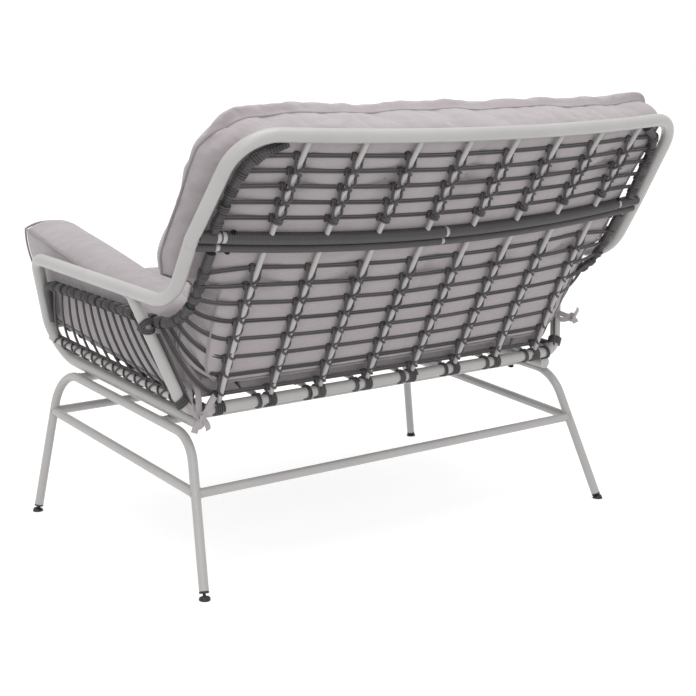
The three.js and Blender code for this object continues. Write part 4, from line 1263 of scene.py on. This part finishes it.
def puffed(blank, name, sewn, pressure, reach, slack=0.02, frames=20):
    """Blows a blank up as cloth. Sewn corners stay put; reach(u, v, w) caps how far others move."""
    piece = placed(name, mesh_of(blank.bm, name))
    piece.vertex_groups.new(name="sewn").add(list(sewn), 1.0, "REPLACE")
    cloth = piece.modifiers.new("cloth", "CLOTH")
    settings = cloth.settings
    settings.quality = 4
    settings.mass = 0.25
    settings.tension_stiffness = settings.compression_stiffness = 12
    settings.bending_stiffness = 0.15
    settings.shrink_min = -slack
    settings.use_pressure = True
    settings.uniform_pressure_force = pressure
    settings.effector_weights.gravity = 0
    settings.vertex_group_mass = "sewn"
    cloth.collision_settings.use_collision = False
    cloth.point_cache.frame_end = frames
    scene = bpy.context.scene
    for frame_number in range(1, frames + 1):
        scene.frame_set(frame_number)
    moved = piece.evaluated_get(bpy.context.evaluated_depsgraph_get()).data
    places = [v.co.copy() for v in moved.vertices]
    scene.frame_set(1)
    bpy.data.objects.remove(piece)
    largest = 0.0
    for i, (v, start, place) in enumerate(zip(blank.bm.verts, blank.start, places)):
        way = place - start
        limit = reach(*blank.shares[i]) * MM
        way = way / (1 + way.length / limit) * CAP_STRETCH if limit else Vector()
        largest = max(largest, way.length)
        v.co = start + way
    print(name, "moved up to", round(largest / MM, 1), "mm")


def bell(t, width):
    return math.exp(-(t / width) ** 2)


def away(gap, width):
    """Nothing at a seam, and nearly 1 a few widths away from it."""
    return 1 - math.exp(-gap / width)


def soften(t):
    t = max(0.0, min(1.0, t))
    return t * t * (3 - 2 * t)


def between_rows(table, t):
    """Looks t up in a table of (t, value), straight between its rows."""
    for (a, low), (b, high) in zip(table, table[1:]):
        if t <= b:
            return mixed(low, high, (t - a) / (b - a))
    return table[-1][1]


# %% [markdown]
# The back cushion lies on the weave. Between the arms it is squeezed narrow, above them its front
# spreads over the loops. The two panels are joined by a boxing strip, with piping in both seams. The
# front panel rolls out past its seam, so from behind its crown shows as a band above the piping.
# Two rows of tufts tie front and rear together.

# %% The back cushion
LOW_SHARE, HIGH_SHARE = 0.075, 1.0
THICK, FRONT_X, REAR_X = 84, 544, 492
ASIDE, FRONT_LOWER, SEAM_DROP, SEAM_DROP_WIDE = 14, 0.07, 13, 30
REST = SHELL_TUBE / 2 + 0.8
WIDE, TALL = 1100, BACK_HEIGHT / MM * (HIGH_SHARE - LOW_SHARE)
OUTLINE = [(0, 0.8), (0.09, 0.815), (0.19, 0.825), (0.29, 0.835), (0.385, 0.845), (0.425, 0.975),
           (0.5, 1), (0.8, 0.992), (0.88, 0.978), (0.95, 0.955), (1, 0.93)]
TOP_CORNERS, MORE_IN_FRONT, LOW_CORNER = {1: 58, -1: 30}, {1: 16, -1: 0}, 42
WAIST, CROWN, MIDDLE_CROWN = 5, 22, 14
ROLL, SIDE_ROLL, LOW_ROLL, SEAM_EASE = 13, 8, 3, 14
TOP_ROLL = SEAM_DROP + 9
BOX_SIDE, BOX_END = 7, 5
TUFTS = [(u, v) for u in (0.12, 0.31, 0.5, 0.69, 0.88) for v in (0.41, 0.8)]
TUFT_WIDE, TUFT_DEEP, TUFT_PULL = 26, 26, 7
FOLDS = [(-95, 7, 3.0), (-185, 9, 3.5), (-238, 6, 3.0), (-330, 10, 4.0), (105, 3, 1.6), (372, 9, 2.5),
         (250, 12, 2.0)]
SIDE_FOLDS = [(60, 4), (130, 2.5), (175, 3.5), (-10, 3)]
TOP_WAVES = [(1.8, 43, 0), (1.2, 19, 1), (0.9, 27, 2)]


def rounded(across, level, half, corner):
    """Draws a point in round a corner of the cushion. Also gives how far into the corner it lies."""
    over_x = max(0, abs(across) - half + corner) / corner
    over_h = max(0, abs(level) - TALL / 2 + corner) / corner
    x = min(abs(across), half - corner) + corner * over_x * math.sqrt(1 - over_h ** 2 / 2)
    h = min(abs(level), TALL / 2 - corner) + corner * over_h * math.sqrt(1 - over_x ** 2 / 2)
    return x, h, over_x, over_h


def rolled(gap):
    """A bulge that starts at a seam and dies away further in."""
    return gap / ROLL * math.exp(1 - gap / ROLL)


def back_place(u, v, w):
    reach = FRONT_X * between_rows(OUTLINE, v + FRONT_LOWER * w * (1 - v))
    half = mixed(min(REAR_X, reach), reach, w)
    side = 1 if u > 0.5 else -1
    level = (v - 0.5) * TALL
    corner = TOP_CORNERS[side] + MORE_IN_FRONT[side] * w if v > 0.5 else LOW_CORNER
    x, h, over_x, over_h = rounded((2 * u - 1) * half, level, half, corner)
    x -= WAIST * over_x * (1 - (2 * v - 1) ** 2)
    x, h = x * side, math.copysign(h, level)
    forward = REST + w * THICK
    from_side, from_top, from_low = (1 - abs(2 * u - 1)) * half, (1 - v) * TALL, v * TALL
    if w == 1:
        inside = [away(gap, SEAM_EASE) for gap in (from_side, from_top, from_low)]
        x += SIDE_ROLL * rolled(from_side) * inside[1] * inside[2] * side
        h += (TOP_ROLL * rolled(from_top) - LOW_ROLL * rolled(from_low)) * inside[0]
        middle = (1 - (2 * u - 1) ** 4) * (1 - (2 * v - 1) ** 4)
        forward += math.prod(inside) * (CROWN + MIDDLE_CROWN * middle)
    elif w > 0:
        puff = math.sin(math.pi * w)
        x += side * BOX_SIDE * puff * over_x
        h += math.copysign(BOX_END * puff * over_h, level)
        top = soften((v - 0.9) / 0.1)
        h -= puff * top * sum(deep * bell(x - place, wide) for place, wide, deep in FOLDS)
        x -= side * puff * over_x * sum(deep * bell(h + 8 * w - place, 7) for place, deep in SIDE_FOLDS)
    h -= SEAM_DROP * w * math.exp(-from_top / SEAM_DROP_WIDE)
    h += soften((v - 0.85) / 0.15) * sum(high * math.sin(x / long + shift) for high, long, shift in TOP_WAVES)
    h += 7 * soften((-x - 380) / 130) * soften((v - 0.8) / 0.2)
    x += 1.6 * math.sin(h / 31 + side) * over_x
    dent = sum(bell(math.hypot((u - a) * 2 * half, (v - b) * TALL), TUFT_WIDE) for a, b in TUFTS)
    if w == 1:
        forward -= TUFT_DEEP * dent
    elif w == 0:
        forward += TUFT_PULL * dent
    x += ASIDE * w
    drop = TOP_DROP / (BACK_HEIGHT / MM) * (x / TOP_X) ** 2 * (1 - w)
    share = mixed(LOW_SHARE, HIGH_SHARE - drop, h / TALL + 0.5)
    flat = BACK_BASE + BACK_UP * share * BACK_HEIGHT + FORWARD * forward * MM + ACROSS * x * MM
    return mixed(back(x, share, forward), flat, w)


def back_reach(u, v, w):
    """How far the cloth may move, in millimetres: little behind, more in front."""
    if w == 0:
        return 5
    if w == 1:
        return 22 * soften(v / 0.12)
    return 9 * soften(v / 0.1)


def nearest_corner(blank, u, v, w):
    """The corner of one panel that lies nearest to a tuft."""
    def gap(i):
        across, along, deep = blank.shares[i]
        return math.hypot((across - u) * WIDE, (along - v) * TALL)
    return min((i for i, shares in enumerate(blank.shares) if shares[2] == w), key=gap)


blank = Blank((124, 64, 9), back_place, 0.45)
tuft_points = [nearest_corner(blank, u, v, w) for u, v in TUFTS for w in (0, 1)]
rims = [blank.rim(1), blank.rim(0)]
puffed(blank, "back_cushion_blank", rims[0] + rims[1] + tuft_points, 5, back_reach, slack=0.03)


PIPING = 2.1


def seam_bar(maker, blank, corners, out, closed=False):
    """Piping along a run of corners, its middle a little outside the cloth."""
    line = [blank.bm.verts[i].co + blank.bm.verts[i].normal * out * MM for i in corners]
    maker.bar(line, PIPING * MM, 8, closed=closed, tone=0.5)


def sew_up(blank, name, node, rims):
    """Makes the cushion and its piping from a blown-up blank."""
    piping = Maker()
    for rim in rims:
        seam_bar(piping, blank, rim, PIPING / 2, closed=True)
    mesh = mesh_of(blank.bm, name)
    blank.bm.free()
    for polygon in mesh.polygons:
        polygon.use_smooth = True
    piece = placed(name, mesh)
    piece.data.materials.append(fabric.material)
    smooth = piece.modifiers.new("smooth", "SUBSURF")
    smooth.levels = smooth.render_levels = 1
    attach(piece, "sofa")
    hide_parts(node)
    piping.finish(name + "_piping", seam_cloth_painted_shade, "cushion_fabric")


blank.bm.normal_update()
tuft_places = [(blank.bm.verts[i].co.copy(), blank.bm.verts[i].normal.copy()) for i in tuft_points]
sew_up(blank, "back_cushion_pad", "back_cushion", rims)

THREAD, STITCH_HALF, STITCH_LEAN = 0.7, 4.5, 1.5
stitches = Maker()
for place, normal in tuft_places:
    aside = normal.cross(BACK_UP).normalized()
    for lean in (-1, 1):
        line = [place + (aside * STITCH_HALF * t + BACK_UP * STITCH_LEAN * lean * t
                         + normal * (2.2 - 2.4 * t * t)) * MM for t in evenly(-1.0, 1.0, 7)]
        stitches.bar(line, THREAD * MM, 6, tone=0.5)
# The tuft stitches take the darker seam cloth, which paints shade into the tufts.
stitches.finish("back_cushion_tufts", seam_cloth_painted_shade, "cushion_fabric")
print("back cushion sewn, tufts:", len(TUFTS))

# %% [markdown]
# The seat and arm cushions lie on the deck strands. Their rear ends run out under the back cushion,
# as foam does when it is pushed into the corner.

# %% The seat cushion
DECK_REST = ROD / 2 + 2 * STRAND + GAP + 2.6
HEEL, TOE = back(0, LOW_SHARE, REST), back(0, LOW_SHARE, REST + THICK)
STEP_Y = TOE.y / MM - SHIFT_Y - 4
HEEL_Y = HEEL.y / MM - SHIFT_Y - 20
CUSHION_FRONT_Y, CUSHION_LONG = -330, 480
SEAT_HALF, SEAT_THICK, SEAT_WHOLE, ARM_WHOLE = 341, 84, 0.86, 0.88
SEAT_CROWN, SEAT_MIDDLE_CROWN = 6, 12


def on_deck(x, y):
    front = front_rail(x)
    share = (mm(0, y, 0).y - front.y) / (DECK_REAR.y - front.y)
    return deck(x, share, DECK_REST)


def under_back(x, y):
    """The room between the deck and the underside of the back cushion, in millimetres."""
    return ((HEEL - on_deck(x, y)).dot(BACK_UP) / MM - 1.2) / BACK_UP.z


def lengthwise(tall, x, v, whole):
    """Place along a cushion, its height there, and its share of the straight part. Past the whole
    part it runs out under the back cushion."""
    step = STEP_Y - 4
    if v <= whole:
        return mixed(CUSHION_FRONT_Y, step, v / whole), tall, v / whole
    y = mixed(step, HEEL_Y, (v - whole) / (1 - whole))
    return y, min(tall, under_back(x, max(y, STEP_Y))), 1.0


def seat_place(u, v, w):
    x = (2 * u - 1) * SEAT_HALF
    y, tall, share = lengthwise(SEAT_THICK, x, v, SEAT_WHOLE)
    puff = math.sin(math.pi * w)
    rise = w * tall
    if v < SEAT_WHOLE:
        from_side, from_front = (1 - abs(2 * u - 1)) * SEAT_HALF, share * CUSHION_LONG
        if w == 1:
            full = away(from_side, 16) * away(from_front, 16) * (1 - share ** 8)
            rise += full * (SEAT_CROWN + SEAT_MIDDLE_CROWN * (1 - (2 * u - 1) ** 4))
        elif 0 < w:
            y -= 5 * puff * bell(from_front, 12)
    edge = max(0, abs(2 * u - 1) - 0.9) / 0.1
    x += math.copysign(edge, u - 0.5) * (5 * puff - 7 * (1 - (2 * share - 1) ** 2))
    return on_deck(x, y) + Vector((0, 0, rise * MM))


def seat_reach(u, v, w):
    if w == 0 or v > 0.85:
        return 0.8
    return 16 if w == 1 else (2.5 if v > 0.02 else 8)


blank = Blank((80, 62, 9), seat_place)
rims = [blank.rim(1), blank.rim(0)]
puffed(blank, "seat_cushion_blank", rims[0] + rims[1], 4, seat_reach)
blank.bm.normal_update()
sew_up(blank, "seat_cushion_pad", "seat_cushion", rims)
print("seat cushion sewn")

# %% [markdown]
# An arm cushion stands on its edge against the arm strands and leans out over the arm. Its top is
# strongly crowned and falls away towards the back. Piping frames the top, and from its front corners
# a seam runs down each edge of the end.

# %% Arm cushions
ARM_WIDE, ARM_TALL_FRONT, ARM_TALL_REAR, ARM_CROWN = 112, 187, 132, 30
ARM_TOP_FRONT_X, ARM_TOP_REAR_X, ARM_FOOT_X, INNERMOST_FOOT_X = 504, 484, 455, 430
FRONT_LEAN = 22
ARM_CELLS = (15, 66, 17)


def arm_place(side):
    def place(u, v, w):
        across = u if side > 0 else 1 - u
        top_x = mixed(ARM_TOP_FRONT_X, ARM_TOP_REAR_X, v)
        foot = mixed(ARM_FOOT_X, top_x, w) - (1 - across) * ARM_WIDE
        tall_here = mixed(ARM_TALL_FRONT, ARM_TALL_REAR, min(v / ARM_WHOLE, 1))
        y, tall, share = lengthwise(tall_here, min(foot, INNERMOST_FOOT_X), v, ARM_WHOLE)
        x = min(foot, INNERMOST_FOOT_X) if v > ARM_WHOLE else foot
        rise = w * tall
        puff = math.sin(math.pi * w)
        ends = min(1, 4 * (1 - (2 * mixed(0.04, 0.96, share) - 1) ** 2))
        if v <= ARM_WHOLE:
            if w == 1:
                crown = ARM_CROWN * (1 - abs(2 * across - 1) ** 2.6)
                rise += crown * ends * (0.7 + 0.3 * math.sin(math.pi * share))
            elif w > 0:
                edge = 1 if across > 0.5 else -1
                near = max(0, abs(2 * across - 1) - 0.8) / 0.2
                high = puff * w ** 1.5 * 1.9
                x += edge * near * (4.5 * high if edge > 0 else 6 * puff)
                y -= (4 * puff + 11 * high) * bell(share * CUSHION_LONG, 22)
            y -= FRONT_LEAN * w * (1 - share)
        return mirrored([on_deck(x, y) + Vector((0, 0, rise * MM))], side)[0]
    return place


def arm_reach(side):
    def reach(u, v, w):
        across = u if side > 0 else 1 - u
        if w == 0 or v > 0.87:
            return 0.8
        if w == 1:
            return 14
        return 2.5 if 0 < across or v > 0.02 else 8
    return reach


for hand, side in SIDES:
    blank = Blank(ARM_CELLS, arm_place(side))
    rims = [blank.rim(1), blank.rim(0)]
    ends = [[blank.at[(i, 0, k)] for k in range(ARM_CELLS[2] + 1)] for i in (0, ARM_CELLS[0])]
    sewn = rims[0] + rims[1] + ends[0] + ends[1]
    puffed(blank, f"arm_cushion_blank_{hand}", sewn, 4, arm_reach(side))
    blank.bm.normal_update()
    seams = Maker()
    for end in ends:
        seam_bar(seams, blank, end, 1.0)
    seams.finish(f"arm_cushion_end_seams_{hand}", seam_cloth_painted_shade, "cushion_fabric")
    sew_up(blank, f"arm_cushion_pad_{hand}", f"arm_cushion_{hand}", rims)
print("arm cushions sewn")

# %% [markdown]
# Where the lower inner rail passes a post, loops of strand cross round the post, and a few turns bind
# the rail on both sides of it. A pair of strands runs down the post's inner side. Short bindings sit
# at its foot, on the bend and on the end of the border rail.

# %% Bindings at the posts
def where_rail_passes():
    """The nearest point of the lower inner rail to the post: its number, and the share up the post."""
    up = POST_TOP - POST_FOOT
    shares = [(p - POST_FOOT).dot(up.normalized()) / up.length for p in INNER_LOWER]
    gaps = [((POST_FOOT.lerp(POST_TOP, t) - p).length, i, t)
            for i, (p, t) in enumerate(zip(INNER_LOWER, shares)) if 0 < t < 1]
    return min(gaps)[1:]


CROSS, MEETS = where_rail_passes()
ON_POST = POST_FOOT.lerp(POST_TOP, MEETS)
UP_POST = (POST_TOP - POST_FOOT).normalized()
ALONG_RAIL = (INNER_LOWER[CROSS + 1] - INNER_LOWER[CROSS - 1]).normalized()
OUT_OF_RAIL = (ON_POST - INNER_LOWER[CROSS]).normalized()
CROSS_DISTANCE = length_of(INNER_LOWER[:CROSS + 1])
LOOP_SNUG, LOOP_OVER, LOOP_LEAN, LOOP_STEPS = POST_TUBE / 2 + STRAND + 0.4, 1.4, 0.7, 28
ROUND_RAIL, ROUND_BORDER = INNER_TUBE / 2 + STRAND + 0.6, BORDER_TUBE / 2 + 3.4
BESIDE_POST, PAIR_HALF = (-11.5, 8.5), 1.6
FOOT_DISTANCE = (POST_TOP - POST_FOOT).length


def shifted(x, y, side):
    return mirrored([Vector((x, y, 0)) * MM], side)[0]


def crossed_loops(maker, side):
    """Three loops each way round the post. The second three lie over the first."""
    centre, rise, run = mirrored([ON_POST, UP_POST, ALONG_RAIL], side)
    for lean in (-1, 1):
        wide = LOOP_SNUG + LOOP_OVER * (lean + 1) / 2
        axis = (rise + run * LOOP_LEAN * lean).normalized()
        across = axis.cross(rise.cross(axis)).normalized()
        aside = axis.cross(across)
        for shift in (-1, 0, 1):
            loop = []
            for k in range(LOOP_STEPS):
                turn = k * 2 * math.pi / LOOP_STEPS
                loop.append(centre + (axis * shift * STRAND * 2.1 + aside * math.cos(turn) * wide
                                      + across * math.sin(turn) * wide / axis.dot(rise)) * MM)
            maker.bar(loop, STRAND * MM, 6, closed=True)


def strands_down_post(maker, side):
    """The pair of strands that runs down beside the post."""
    start, end = mirrored([POST_FOOT.lerp(POST_TOP, MEETS - 0.06), POST_FOOT.lerp(POST_TOP, 0.06)], side)
    for way in (-1, 1):
        shift = shifted(*BESIDE_POST, side) + shifted(-PAIR_HALF * way, PAIR_HALF * way, side)
        maker.bar([p + shift for p in refined([start, end], 0.02)], STRAND * MM, 8)


for hand, side in SIDES:
    maker = Maker()
    crossed_loops(maker, side)
    run, out = mirrored([ALONG_RAIL, OUT_OF_RAIL], side)
    for way in (-1, 1):
        spot = mirrored([walk(INNER_LOWER, CROSS_DISTANCE + way * 17 * MM)[0]], side)[0]
        coil(maker, spot, run, out, (ROUND_RAIL, ROUND_RAIL), 4.3, 3.2)
    strands_down_post(maker, side)
    for past_foot, turns in ((-22, 4), (22, 2.4)):
        spot, way = walk(mirrored(REAR_LINE, side), FOOT_DISTANCE + past_foot * MM)
        coil(maker, spot, way, FORWARD, (ROUND_POST, ROUND_POST), 4.4, turns)
    spot = mirrored([BORDER_LINE[1].lerp(BORDER_LINE[0], 0.03)], side)[0]
    coil(maker, spot, BORDER_LINE[1] - BORDER_LINE[0], FORWARD, (ROUND_BORDER, ROUND_BORDER), 4.4, 4.5)
    maker.finish(f"post_bindings_{hand}", wicker, "wicker")
print("post bindings: 2")

# %% [markdown]
# The back cushion is tied on with tapes of its own cloth: on the left to the bend of the rear rail,
# on the right to the foot of the post. A tape is a flattened bar, bent along its route. Each pair of
# tapes is knotted, which shows as a thick turn round the place where they cross.

# %% Tapes
TAPE_WIDE, TAPE_THICK = 12.5, 1.4


def tape(name, points, lean):
    """A flat strip along points given in drawing millimetres; lean is the way its width faces."""
    line = smoothed([mm(*p) for p in points], 5)
    maker = Maker()
    maker.bar(line, TAPE_WIDE / 2 * MM, 12, tone=0.5, lean=Vector(lean), squash=TAPE_THICK / TAPE_WIDE)
    piece = maker.finish(name, tape_cloth, "cushion_fabric")
    length_of(line)


def knot(name, place, axis, size):
    maker = Maker()
    coil(maker, mm(*place), Vector(axis), Vector((0, 0, 1)), size, 5.5, 1.8, radius=3.4, sides=12)
    return maker.finish(name, tape_cloth, "cushion_fabric")


bow = knot("tape_knot_left", (449, 238, 309), (1, 0.1, 0.3), (7.5, 6))
tape("tape_left_front", [(437, 176, 366), (437, 198, 362), (440, 210, 350), (446, 223, 334), (451, 231, 318),
                         (449, 236, 309), (444, 242, 300), (440, 243, 292), (438, 241, 284)],
     (1, 0.2, 0))
tape("tape_left_side", [(447, 180, 362), (452, 201, 352), (460, 215, 340), (465, 228, 325), (460, 234, 314),
                        (450, 237, 308), (456, 242, 301), (465, 243, 293), (468, 241, 283)], (1, 0.3, 0.2))
tape("tape_left_loop", [(450, 239, 309), (442, 240, 317), (433, 240, 328), (423, 238, 341), (418, 232, 342),
                        (424, 230, 333), (436, 232, 318), (446, 235, 309)], (0.7, 0, 0.7))
bow = knot("tape_knot_right", (-508, 228, 388), (1, 0.3, 0.2), (7, 6))
tape("tape_right_front", [(-478, 190, 400), (-488, 206, 397), (-497, 220, 392), (-506, 228, 389),
                          (-513, 231, 393), (-519, 232, 400), (-523, 231, 407)], (0.2, 0.4, 1))
tape("tape_right_side", [(-482, 196, 386), (-494, 214, 382), (-506, 227, 386), (-514, 230, 381),
                         (-519, 230, 375)], (0.2, 0.4, 1))
print("tapes: 5")

# %% [markdown]
# The sofa stands on a pale floor that glows a little, so it melts into the white behind and only a
# soft shadow stays. One large soft box hangs overhead and one stands behind the camera.

# %% Floor and light
floor_mesh = bmesh.new()
bmesh.ops.create_grid(floor_mesh, x_segments=1, y_segments=1, size=40)
floor = placed("floor", mesh_of(floor_mesh, "floor"))
floor_mesh.free()
pale = Finish("pale_floor", Roughness=0.9)
pale.set("Base Color", grey(0.35))
pale.set("Emission Color", grey(1.0))
pale.set("Emission Strength", 0.72)
floor.data.materials.append(pale.material)

world = bpy.data.worlds.new("studio")
bpy.context.scene.world = world
world.use_nodes = True
world.node_tree.nodes["Background"].inputs["Color"].default_value = (1, 1, 1, 1)
world.node_tree.nodes["Background"].inputs["Strength"].default_value = 1.0


def lamp(name, place, aim, size, power):
    data = bpy.data.lights.new(name, "AREA")
    data.size = size
    data.energy = power
    light = placed(name, data)
    light.location = place
    light.rotation_euler = (Vector(aim) - Vector(place)).to_track_quat("-Z", "Y").to_euler()


lamp("top_softbox", (0.4, 0.6, 3.2), (0, 0, 0.4), 2.6, 46)
lamp("rear_softbox", (2.6, 2.8, 2.2), (0, 0, 0.5), 2.2, 26)
bpy.context.scene.view_settings.view_transform = "Standard"
print("lamps: 2")

# %% Update the scene
bpy.context.view_layer.update()
